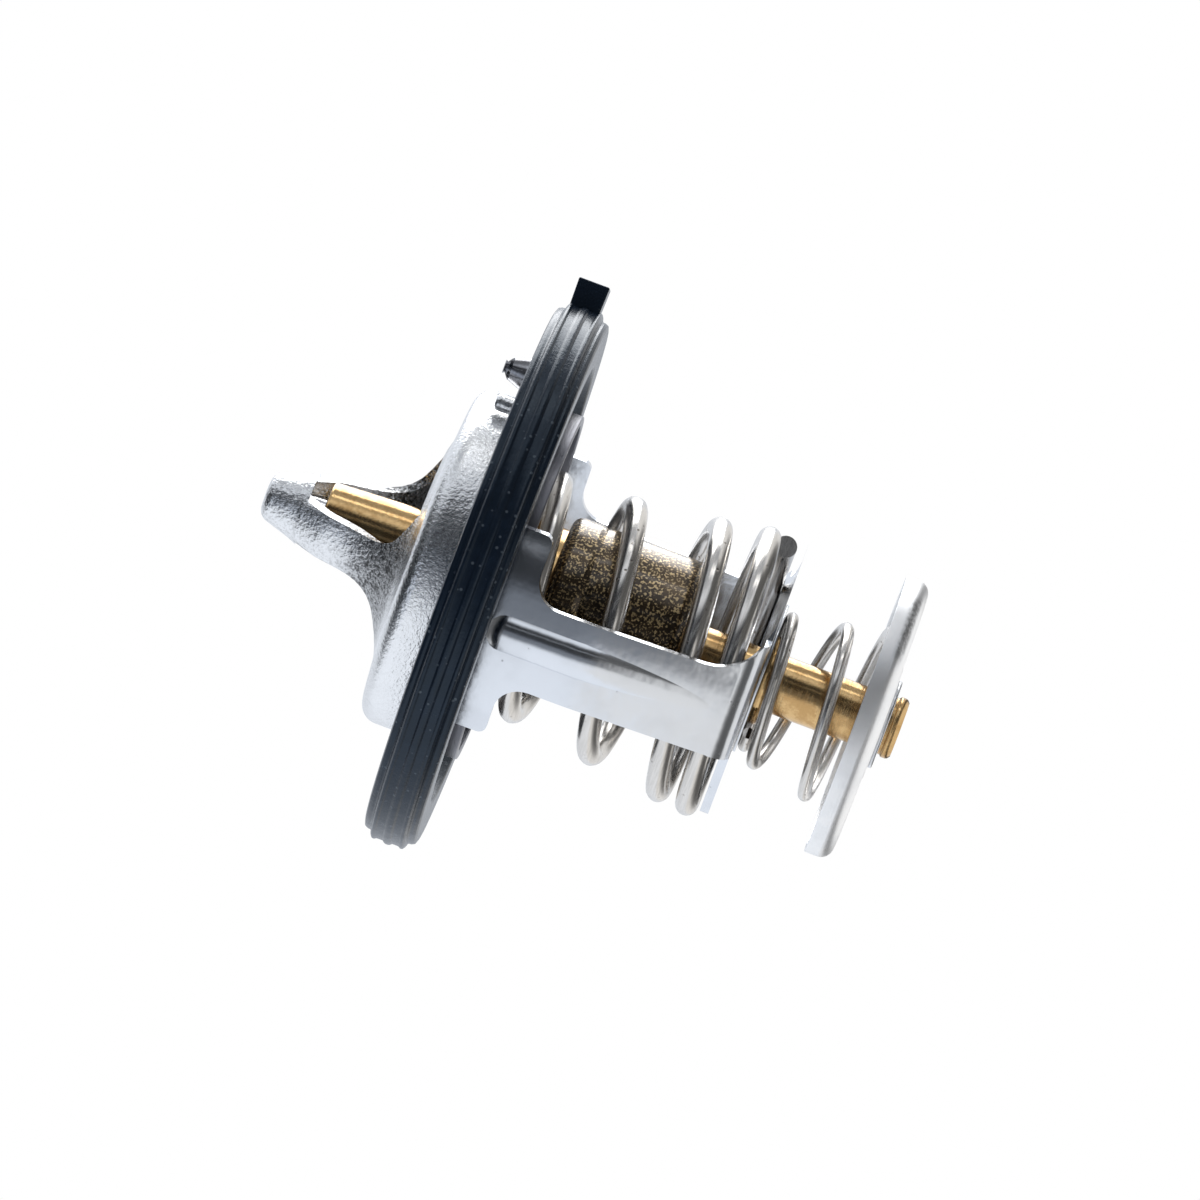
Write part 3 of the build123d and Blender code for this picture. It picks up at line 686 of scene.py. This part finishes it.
class COOLANT_OT_upper_frame(CoolantValveOperator, bpy.types.Operator):
    """Flange, bell, two legs and nose, stamped from one sheet"""

    bl_idname = "coolant.upper_frame"
    bl_label = "Upper Frame"

    def execute(self, context):
        points = [(0.35, NOSE_TOP), (2.3, NOSE_TOP), (3.4, 20.0), (4.75, 16.8), (6.6, 8.2)]
        points += [(BELL_RADIUS, 7.1), (BELL_RADIUS, HALF_SHEET), (27.0, HALF_SHEET)]
        radii = [1.25, 5.0, 5.0, 8.5, 1.9, 0.8]
        line = sheet_line(points, radii, 2 * HALF_SHEET, 10)
        frame_piece = lathe("upper_frame_steel", line)
        for side in (0, 180):
            tool = self.window()
            turn_piece(tool, BRIDGE_ANGLE + side)
            cut(frame_piece, tool)
        cut(frame_piece, rod("pin_port", 1.1, -2, 2, (PIN_PLACE, 0)))
        soften(frame_piece, sizes().edge_round)
        angle, reach = math.radians(-28.5), 18.8
        boss = rod("boss", 0.85, 0.3, 5.0, (reach * math.cos(angle), reach * math.sin(angle)), 32)
        soften(boss, 0.5, 40, 5)
        join(frame_piece, boss)
        finish_piece(frame_piece, "frame", "frame_steel", drawn_steel_paint(), "upper_frame")
        return {"FINISHED"}

    def window(self):
        """The tool that opens one side of the nose: round outside, with rounded inner corners."""
        near, far, half_width, inner_round, outer_radius = 2.5, 14.0, 7.0, 2.2, 10.8
        tool = block("window", (-half_width, near, 5.0), (half_width, far, 19.2))
        select_only(tool)
        bpy.ops.object.mode_set(mode="EDIT")
        mesh = bmesh.from_edit_mesh(tool.data)
        for edge in mesh.edges:
            upright = abs(edge.verts[0].co.z - edge.verts[1].co.z) > MM
            edge.select = upright and all(vertex.co.y < 2 * near * MM for vertex in edge.verts)
        bpy.ops.mesh.bevel(offset=inner_round * MM, segments=10, affect="EDGES")
        bpy.ops.object.mode_set(mode="OBJECT")
        cut(tool, rod("window_round", outer_radius, 4.0, 20.0, sides=128), "INTERSECT")
        return tool


class COOLANT_OT_lower_frame(CoolantValveOperator, bpy.types.Operator):
    """Two legs with cross feet and the end plate, stamped from one strip"""

    bl_idname = "coolant.lower_frame"
    bl_label = "Lower Frame"

    def execute(self, context):
        leg_radius = 19.65
        points = [(leg_radius, -0.42), (leg_radius, -12.0), (18.0, PLATE_OUTSIDE), (3.05, PLATE_OUTSIDE)]
        line = sheet_line(points, [24.0, 2.2], CAGE_SHEET, 8)
        cup = lathe("lower_frame_steel", line, closed=True)
        # One edge of the legs flares into the end plate, and the other runs on straight
        top, low, past = 1.5, -30.5, 24.0
        half_leg, half_foot, half_plate, straight_low = 4.375, 10.6, 13.0, -26.8
        flared = [(half_foot, top), (half_foot, FOOT_LOW), (half_leg, FOOT_LOW)]
        flared += [(half_leg, PLATE_OUTSIDE), (half_plate, PLATE_OUTSIDE), (half_plate, low)]
        flared = rounded(flared, [0.9, 2.8, 5.5, 0.0], 8)
        straight = [(-half_foot, top), (-half_foot, FOOT_LOW), (-half_leg, FOOT_LOW)]
        straight += [(-half_leg, straight_low), (-half_plate, straight_low), (-half_plate, low)]
        straight = rounded(straight, [0.9, 2.8, 0.0, 0.0], 8)
        front = outline_block("front", flared + straight[::-1], -past, past)
        turn_piece(front, 90, "X")
        turn_piece(front, LEG_ANGLE + 90)
        cut(cup, front, "INTERSECT")
        # Inward of the legs only the round end plate stays, with the strip and the feet
        plate = rod("plate", 14.9, -32.0, FOOT_LOW, sides=128)
        strip = block("strip", (-half_leg - 0.05, -past, -31.0), (7.5, past, -5.0))
        turn_piece(strip, LEG_ANGLE + 90)
        feet = rod("feet", past, -8.4, 3.0, sides=64)
        cut(plate, strip, "UNION")
        cut(plate, feet, "UNION")
        cut(cup, plate, "INTERSECT")
        soften(cup, sizes().edge_round, 50)
        for side in (0, 180):
            bead = self.bead()
            turn_piece(bead, LEG_ANGLE + side + BEAD_TURN)
            join(cup, bead)
        for turn in (-TENON_TURN, TENON_TURN, 180 - TENON_TURN, 180 + TENON_TURN):
            tenon = block("tenon", (leg_radius - CAGE_SHEET, -1.2, -1.4), (leg_radius, 1.2, 0.85))
            turn_piece(tenon, LEG_ANGLE + turn)
            soften(tenon, 0.15)
            join(cup, tenon)
        finish_piece(cup, "frame", "polished_steel", cage_steel_paint(), "lower_frame")
        return {"FINISHED"}

    def bead(self):
        """A half round bead with a round start, which sinks into the leg at its end."""
        radius, place, top, back = 2.42, 17.98, -4.15, 19.2
        bend, leg_run, leg_lean, sink_run, sink_depth = -12.0, 17.0, 1.65, 13.5, 0.75
        turns = (0.05, 0.3, 0.6, 0.9, 1.2, 1.4)
        line = [(radius * math.sin(turn), top + radius * math.cos(turn)) for turn in turns]
        line += [(radius, height) for height in (top, -8.0, bend, -15.0, -18.0, -21.0, -23.5, -25.5)]
        bead = lathe("bead", line, sides=48)
        for vertex in bead.data.vertices:
            vertex.co.x += place * MM
        select_only(bead)
        bpy.ops.object.mode_set(mode="EDIT")
        bpy.ops.mesh.select_all(action="SELECT")
        bpy.ops.mesh.bisect(plane_co=(back * MM, 0, 0), plane_no=(1, 0, 0), clear_inner=True, use_fill=True)
        bpy.ops.object.mode_set(mode="OBJECT")
        for vertex in bead.data.vertices:
            past = max(0.0, bend - vertex.co.z / MM)
            lean, sink = past / leg_run * leg_lean, past / sink_run * sink_depth
            vertex.co.x = max(vertex.co.x / MM - lean - sink, back - lean) * MM
        smooth(bead)
        return bead


class COOLANT_OT_gasket(CoolantValveOperator, bpy.types.Operator):
    """Rubber gasket moulded over the rim of the flange, with its locating tab"""

    bl_idname = "coolant.gasket"
    bl_label = "Gasket"

    def execute(self, context):
        rim, rise, groove = 28.45, sizes().ridge_rise, 0.02
        slot, slot_radius = 0.42, 27.02
        half = [(22.8, slot), (23.1, 2.62), (23.35, LIP_TOP), (27.25, LIP_TOP), (27.65, 2.62)]
        half += [(27.8, 2.3), (27.82, 2.05), (27.95, 1.9), (28.3, 1.8), (rim + rise * 0.5, 1.62)]
        half += [(rim + rise * 0.6, 1.4), (rim, 1.2), (rim - groove, 0.9), (rim - groove, 0.5)]
        half += [(rim + rise * 0.7, 0.3), (rim + rise, 0.12)]
        line = rounded(half, [0.12] * len(half), 3)
        line += [(radius, -height) for radius, height in line[::-1]]
        line += [(slot_radius, -slot), (slot_radius, slot)]
        gasket = lathe("gasket_rubber", line, closed=True, sides=256)
        smooth(gasket, 50.0)
        near, far, half_width = 27.9, 31.2, 2.5
        tab = block("tab", (near, -half_width, -1.4), (far, half_width, 1.7))
        for vertex in tab.data.vertices:
            if vertex.co.x > (near + far) / 2 * MM:
                vertex.co.z += 0.06 * MM if vertex.co.z > 0 else -0.10 * MM
        soften(tab, 0.16, 40, 3)
        join(gasket, tab)
        finish_piece(gasket, "frame", "rubber", rubber_paint(), "gasket")
        return {"FINISHED"}


class COOLANT_OT_jiggle_pin(CoolantValveOperator, bpy.types.Operator):
    """Loose pin in the flange, with a cone above and a shoe below"""

    bl_idname = "coolant.jiggle_pin"
    bl_label = "Jiggle Pin"

    def execute(self, context):
        line = [(0.95, 5.75), (1.12, 5.68), (1.3, 5.25), (1.18, 4.95), (1.4, 4.4), (2.0, 2.7), (1.95, 2.4)]
        line += [(0.8, 2.1), (0.8, -1.2), (1.5, -1.2), (1.6, -1.3), (1.6, -1.8), (1.3, -2.1), (0.3, -2.1)]
        pin = lathe("jiggle_pin_steel", line, sides=40)
        pin.data.transform(Matrix.Translation((PIN_PLACE * MM, 0, 0)))
        half, tip, lean = 0.95, 5.75, 35
        for side in (-1, 1):
            middle = PIN_PLACE + side * 1.85
            flat = block("flat", (middle - half, -2, tip - half), (middle + half, 2, tip + half))
            turn_piece(flat, side * lean, "Y", (middle, 0, tip))
            cut(pin, flat)
        soften(pin, 0.05)
        steel = plain_paint("PinSteel", (0.40, 0.40, 0.42), (0.22, 0.22, 0.23), 0.12, 1.0)
        finish_piece(pin, "jiggle", "polished_steel", steel, "jiggle_pin")
        return {"FINISHED"}


class COOLANT_OT_main_valve(CoolantValveOperator, bpy.types.Operator):
    """Cupped valve plate that closes the bell"""

    bl_idname = "coolant.main_valve"
    bl_label = "Main Valve"

    def execute(self, context):
        line = [(4.53, WEB_UNDER), (4.53, VALVE_TOP), (14.3, VALVE_TOP), (14.75, 0.0), (15.2, 0.0)]
        line += [(15.65, VALVE_TOP), (17.85, VALVE_TOP), (18.15, -0.55), (18.3, -0.85), (18.3, -3.45)]
        line += [(18.2, -3.55), (17.5, -3.55), (17.4, -3.45), (17.4, -1.6), (17.15, WEB_UNDER)]
        valve = lathe("main_valve_steel", line, closed=True)
        soften(valve, 0.06)
        finish_piece(valve, "element", "valve_steel", valve_steel_paint(), "main_valve")
        return {"FINISHED"}


class COOLANT_OT_springs(CoolantValveOperator, bpy.types.Operator):
    """Main spring in the cage, and the bypass spring on the rod"""

    bl_idname = "coolant.springs"
    bl_label = "Springs"

    def execute(self, context):
        top_radius, widening, leaning = 12.6, 2.5, 0.45
        turns = [-1.5, -1.0, 0.0, 1.0, 2.0, 3.0, 4.0, 5.0, 6.0, 7.0, 7.95]
        shares = [0.0, 0.01, 0.045, 0.187, 0.364, 0.55, 0.722, 0.862, 0.925, 0.99, 1.0]
        wide = [0.0, 0.0, 0.0, 0.08, 0.20, 0.48, 0.66, 0.90, 1.0, 1.0, 0.96]
        lean = [0.0, 0.0, 0.2, 0.5, 0.8, 1.0, 1.0, 1.0, 1.0, 1.0, 1.0]
        rows = [turns, shares, [top_radius + widening * w for w in wide], [leaning * w for w in lean]]
        wire = sizes().main_wire
        main, main_tips = wire_coil("main_spring_wire", rows, wire, WEB_UNDER, PLATE_INSIDE)
        top_radius, widening, leaning = 7.5, 3.1, 0.6
        turns = [-1.2, 0.0, 1.0, 2.0, 3.0, 4.0, 4.8]
        shares = [0.0, 0.0, 0.13, 0.53, 0.70, 0.94, 1.0]
        wide = [0.0, 0.0, 0.25, 0.45, 0.64, 0.84, 1.0]
        lean = [0.0, 0.3, 1.0, 1.0, 1.0, 1.0, 1.0]
        rows = [turns, shares, [top_radius + widening * w for w in wide], [leaning * w for w in lean]]
        wire = sizes().bypass_wire
        small, small_tips = wire_coil("bypass_spring_wire", rows, wire, SEAT_LOW, DISC_INSIDE, 36)
        steel, cut_end, end_reach = spring_steel_paint(), cut_end_paint(), 0.3
        main_row = (main, main_tips, "frame", "main_spring")
        small_row = (small, small_tips, "element", "bypass_spring")
        for piece, tips, body, node in (main_row, small_row):
            finish_piece(piece, body, "spring_steel", steel, node)
            piece.data.materials.append(cut_end)
            for face in piece.data.polygons:
                reach = min((face.center - tip).length for tip in tips)
                face.material_index = 1 if reach < end_reach * MM else 0
            smooth(piece)
        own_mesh(main)
        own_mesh(small)
        return {"FINISHED"}


class COOLANT_OT_element(CoolantValveOperator, bpy.types.Operator):
    """Brass guide, crimped case, piston and what the case holds"""

    bl_idname = "coolant.element"
    bl_label = "Wax Element"

    def execute(self, context):
        bore, neck, collar, collar_low = 1.65, 7.2, 8.0, -7.0
        line = [(bore, -7.7), (bore, 16.6), (2.5, 16.6), (2.5, 17.5), (3.2, 17.5), (3.4, 17.42)]
        line += [(3.5, 17.2), (4.5, 0.55), (4.5, WEB_UNDER), (neck, WEB_UNDER), (neck, collar_low)]
        line += [(collar, collar_low), (collar, -8.3), (3.6, -8.3), (3.6, -7.7)]
        guide = lathe("element_guide_brass", line, closed=True, sides=128)
        soften(guide, 0.05)
        finish_piece(guide, "element", "brass", brass_paint("GuideBrass"), "element_guide")
        # The case is crimped over the guide's collar, with a shallow groove below
        outside, inside = 8.85, 8.05
        outer = [(neck, -6.2), (outside, -6.2), (outside, -9.2), (8.72, -9.9), (outside, -10.6)]
        outer += [(outside, CASE_LOW), (PISTON_RADIUS, CASE_LOW)]
        line = rounded(outer, [1.1, 0.5, 0.7, 0.5, 1.2], 6)
        line += [(PISTON_RADIUS, CASE_FOOT), (7.4, CASE_FOOT), (inside, -19.1), (inside, -10.4)]
        line += [(7.94, -9.9), (inside, -9.4), (inside, collar_low), (neck, collar_low)]
        case = lathe("element_case_copper", line, closed=True, sides=160)
        smooth(case)
        finish_piece(case, "element", "case_copper", case_paint(), "element_case")
        piston = rod("piston_steel", PISTON_RADIUS, -12.5, 22.75, sides=64)
        soften(piston, 0.55, 40, 4)
        steel = plain_paint("GroundSteel", (0.70, 0.70, 0.71), (0.55, 0.55, 0.57), 0.12, 1.0)
        finish_piece(piston, "frame", "piston_steel", steel, "piston")
        hidden = {
            "piston_wiper": plain_paint("WiperRing", (0.80, 0.79, 0.75), (0.70, 0.68, 0.63), 0.35),
            "backup_ring": plain_paint("BackupRing", (0.82, 0.80, 0.76), (0.72, 0.70, 0.66), 0.4),
            "rubber_boot": plain_paint("BootRubber", (0.03, 0.03, 0.035), (0.05, 0.05, 0.055), 0.5),
            "wax_charge": plain_paint("CopperWax", (0.62, 0.36, 0.20), (0.50, 0.28, 0.15), 0.45),
        }
        for node, material in hidden.items():
            paint_node(node, material)
        return {"FINISHED"}


class COOLANT_OT_bypass(CoolantValveOperator, bpy.types.Operator):
    """Rod, collar, spring seat, bypass disc and retaining clip"""

    bl_idname = "coolant.bypass"
    bl_label = "Bypass Valve"

    def execute(self, context):
        brass = brass_paint("RodBrass")
        line = [(0.3, -19.0), (ROD_NECK, -19.0), (ROD_NECK, CASE_FOOT), (PISTON_RADIUS, CASE_FOOT)]
        line += [(PISTON_RADIUS, CASE_LOW), (2.9, CASE_LOW), (ROD_RADIUS, -20.6), (ROD_RADIUS, CLIP_TOP)]
        line += [(ROD_NECK, CLIP_TOP), (ROD_NECK, CLIP_LOW), (2.95, CLIP_LOW), (ROD_RADIUS, -42.7)]
        line += [(ROD_RADIUS, -42.95), (3.2, -43.1), (3.2, -43.6), (3.1, -43.8), (2.85, ROD_LOW)]
        line += [(0.3, ROD_LOW)]
        bar = lathe("bypass_rod_brass", line, sides=96)
        soften(bar, 0.04)
        finish_piece(bar, "element", "brass", brass, "bypass_rod")
        outside, low = 4.6, -30.3
        line = [(ROD_RADIUS, SEAT_LOW), (outside, SEAT_LOW), (outside, -30.1), (4.4, low)]
        collar = lathe("rod_collar_brass", [*line, (ROD_RADIUS, low)], closed=True, sides=96)
        soften(collar, 0.06)
        finish_piece(collar, "element", "brass", brass, "rod_collar")
        outside, top = 7.8, -29.05
        line = [(ROD_RADIUS, top), (outside, top), (outside, SEAT_LOW), (ROD_RADIUS, SEAT_LOW)]
        seat = lathe("spring_seat_steel", line, closed=True, sides=96)
        soften(seat, 0.06)
        polished = cage_steel_paint()
        finish_piece(seat, "element", "polished_steel", polished, "spring_seat")
        outside, low, middle_low = 14.7, -41.95, -42.2
        rim = [(outside, -39.3), (outside, low), (6.3, low), (5.9, middle_low), (3.05, middle_low)]
        disc = lathe("bypass_disc_steel", sheet_line(rim, [1.3, 0.3, 0.3], 0.8, 8), closed=True)
        soften(disc, 0.07)
        stained = valve_steel_paint("DiscSteel", dull=0.34, stained=0.8)
        finish_piece(disc, "bypass", "valve_steel", stained, "bypass_disc")
        outside = 4.6
        line = [(ROD_NECK, CLIP_TOP), (outside, CLIP_TOP), (outside, CLIP_LOW), (ROD_NECK, CLIP_LOW)]
        clip = lathe("retaining_clip_steel", line, closed=True, sides=96)
        cut(clip, block("slot", (-1.9, 0.0, -44), (1.9, 6.0, -41)))
        soften(clip, 0.06)
        finish_piece(clip, "element", "polished_steel", polished, "retaining_clip")
        return {"FINISHED"}


def paint_node(node, material):
    """A node that keeps its own shape gets a finished material."""
    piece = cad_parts[node]
    piece.data.materials.clear()
    piece.data.materials.append(material)


class COOLANT_OT_stage(CoolantValveOperator, bpy.types.Operator):
    """Pale floor, soft studio light and the photograph's camera"""

    bl_idname = "coolant.stage"
    bl_label = "Studio"

    def execute(self, context):
        self.floor()
        self.world()
        self.lamps()
        self.camera()
        context.scene.view_settings.view_transform = "Standard"
        return {"FINISHED"}

    def floor(self):
        """A floor that is white to the camera, and to the metal glows with painted light in dark and pale
        rings.
        """
        deselect()
        bpy.ops.mesh.primitive_plane_add(size=0.4, location=(0, 0, FLOOR_HEIGHT * MM))
        floor = bpy.context.object
        floor.name = "studio_floor"
        p = Paint("PaleFloor")
        # Painted light: to the metal the floor glows, pale under the part, with a painted shadow ring from
        # 29 mm round it that fades out by 100 mm, and painted dark patches ahead
        across = p.x / (p.radius + 0.1)
        ahead = (0 - p.y).over(0.0, 10.0)
        far_painted_dark = across.over(-0.35, -0.15) * p.radius.over(125.0, 165.0)
        dark = ahead * far_painted_dark.most(across.over(0.20, 0.35))
        near = 1 - p.radius.over(24.0, 29.0)
        level = near.most(p.radius.over(45.0, 100.0) * (1 - dark)) * 0.78 + 0.12
        pale = p.node("ShaderNodeEmission", {}, {"Strength": level})
        white = p.node("ShaderNodeEmission")
        path = p.node("ShaderNodeLightPath")
        seen = {0: path.outputs["Is Camera Ray"], 1: pale.outputs[0], 2: white.outputs[0]}
        shown = p.node("ShaderNodeMixShader", {}, seen)
        p.tree.links.new(shown.outputs[0], p.tree.nodes["Material Output"].inputs["Surface"])
        floor.data.materials.append(p.material)

    def world(self):
        """White to the camera, and a room of dark and light strips to the metal."""
        world = bpy.data.worlds.new("Studio")
        bpy.context.scene.world = world
        world.use_nodes = True
        world.node_tree.nodes.clear()
        room = Nodes(world.node_tree)
        white = (1, 1, 1, 1)
        way = room.node("ShaderNodeTexCoord").outputs["Generated"]

        def toward(direction):
            """How far the ray goes a given way, from -1 to 1."""
            inputs = {0: way, 1: direction}
            node = room.node("ShaderNodeVectorMath", {"operation": "DOT_PRODUCT"}, inputs)
            return node.outputs["Value"]

        def ramp(value, stops, unit=1.0):
            """The level at a value, from stops of a place and a level, in a cool white."""
            low, high = stops[0][0], stops[-1][0]
            span = {0: value, 1: low * unit, 2: high * unit, 3: 0.0, 4: 1.0}
            share = room.node("ShaderNodeMapRange", {}, span).outputs[0]
            node = room.node("ShaderNodeValToRGB", {}, {0: share})
            elements = node.color_ramp.elements
            node.color_ramp.interpolation = "EASE"
            elements.remove(elements[1])
            for index, (place, level) in enumerate(stops):
                position = (place - low) / (high - low)
                stop = elements[0] if index == 0 else elements.new(position)
                stop.position = position
                stop.color = (level, level * 1.05, level * 1.13, 1)
            return node.outputs[0]

        up, front, side = toward(PHOTO_UP), toward((0, -1, 0)), toward(PHOTO_SIDE)
        # Levels round the camera: dark ahead, a light strip on each side, and white behind
        turn = room.node("ShaderNodeMath", {"operation": "ARCTAN2"}, {0: side, 1: front}).outputs[0]
        around = ramp(turn, AROUND_LEVELS, math.radians(1))
        above = ramp(up, ABOVE_LEVELS)
        band = ramp(up, BAND_SHARES)
        span = {0: front, 1: 0.0, 2: -0.35, 3: 0.0, 4: 1.0}
        behind = room.node("ShaderNodeMapRange", {}, span).outputs[0]
        depth = room.mix(behind, ramp(up, DEPTH_SHARES), white)
        light = room.mix(band, above, room.mix(1.0, around, depth, "MULTIPLY"))
        camera_ray = room.node("ShaderNodeLightPath").outputs["Is Camera Ray"]
        shine = {"Color": room.mix(camera_ray, light, white), "Strength": 1.0}
        shine = room.node("ShaderNodeBackground", {}, shine)
        room.node("ShaderNodeOutputWorld", {}, {0: shine.outputs[0]})

    def lamps(self):
        """Two soft panels, placed in metres: a large one behind and above, and a narrow one in front."""
        aim = Vector((0, 0, -0.01))
        places = (
            ("top_panel", PHOTO_UP * 0.36 + Vector((0, 0.30, 0)), (0.40, 0.36), 1.60),
            ("front_panel", Vector((0.40, -0.10, -0.01)), (0.045, 0.34), 0.10),
        )
        for name, place, spread, power in places:
            deselect()
            bpy.ops.object.light_add(type="AREA", location=place)
            lamp = bpy.context.object
            lamp.name = name
            lamp.data.shape = "RECTANGLE"
            lamp.data.size, lamp.data.size_y = spread
            lamp.data.energy = power
            lamp.rotation_euler = (aim - place).to_track_quat("-Z", "Y").to_euler()

    def camera(self):
        """The photograph's camera, turned so that the part leans as it does there."""
        place, aim = Vector(PHOTO_FOOT) * MM, Vector(PHOTO_CENTRE) * MM
        ahead = (aim - place).normalized()
        right = ahead.cross(PHOTO_UP).normalized()
        up = right.cross(ahead)
        deselect()
        bpy.ops.object.camera_add(location=place)
        camera = bpy.context.object
        camera.name = "photo_camera"
        turn = Matrix((right, up, -ahead)).transposed()
        camera.rotation_euler = turn.to_euler()
        camera.data.sensor_width = 36.0
        camera.data.lens = PHOTO_LENS
        camera.data.clip_start = 0.01
        camera.data.clip_end = 20.0
        bpy.context.scene.camera = camera


PIECE_OPERATORS = (
    COOLANT_OT_upper_frame,
    COOLANT_OT_lower_frame,
    COOLANT_OT_gasket,
    COOLANT_OT_jiggle_pin,
    COOLANT_OT_main_valve,
    COOLANT_OT_springs,
    COOLANT_OT_element,
    COOLANT_OT_bypass,
    COOLANT_OT_stage,
)


class COOLANT_PT_builder(bpy.types.Panel):
    """Lists the pieces and the sizes and colours that can be changed"""

    bl_idname = "COOLANT_PT_builder"
    bl_label = "Coolant Valve"
    bl_space_type = "VIEW_3D"
    bl_region_type = "UI"
    bl_category = "Coolant Valve"

    def draw(self, context):
        for group in (context.scene.coolant_valve_sizes, context.scene.coolant_valve_colours):
            box = self.layout.box()
            for name in group.bl_rna.properties.keys():
                if name not in {"rna_type", "name"}:
                    box.prop(group, name)
        for operator in PIECE_OPERATORS:
            self.layout.operator(operator.bl_idname)


CLASSES = (CoolantValveSizes, CoolantValveColours, *PIECE_OPERATORS, COOLANT_PT_builder)


def register():
    """Adds the operators, the panel and the scene's settings."""
    for kind in CLASSES:
        bpy.utils.register_class(kind)
    bpy.types.Scene.coolant_valve_sizes = bpy.props.PointerProperty(type=CoolantValveSizes)
    bpy.types.Scene.coolant_valve_colours = bpy.props.PointerProperty(type=CoolantValveColours)


def unregister():
    """Takes out what register adds."""
    del bpy.types.Scene.coolant_valve_colours
    del bpy.types.Scene.coolant_valve_sizes
    for kind in reversed(CLASSES):
        bpy.utils.unregister_class(kind)


def main():
    """Builds every piece and the studio."""
    register()
    for operator in PIECE_OPERATORS:
        group, name = operator.bl_idname.split(".")
        getattr(getattr(bpy.ops, group), name)()
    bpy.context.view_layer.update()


if __name__ == "__main__":
    main()
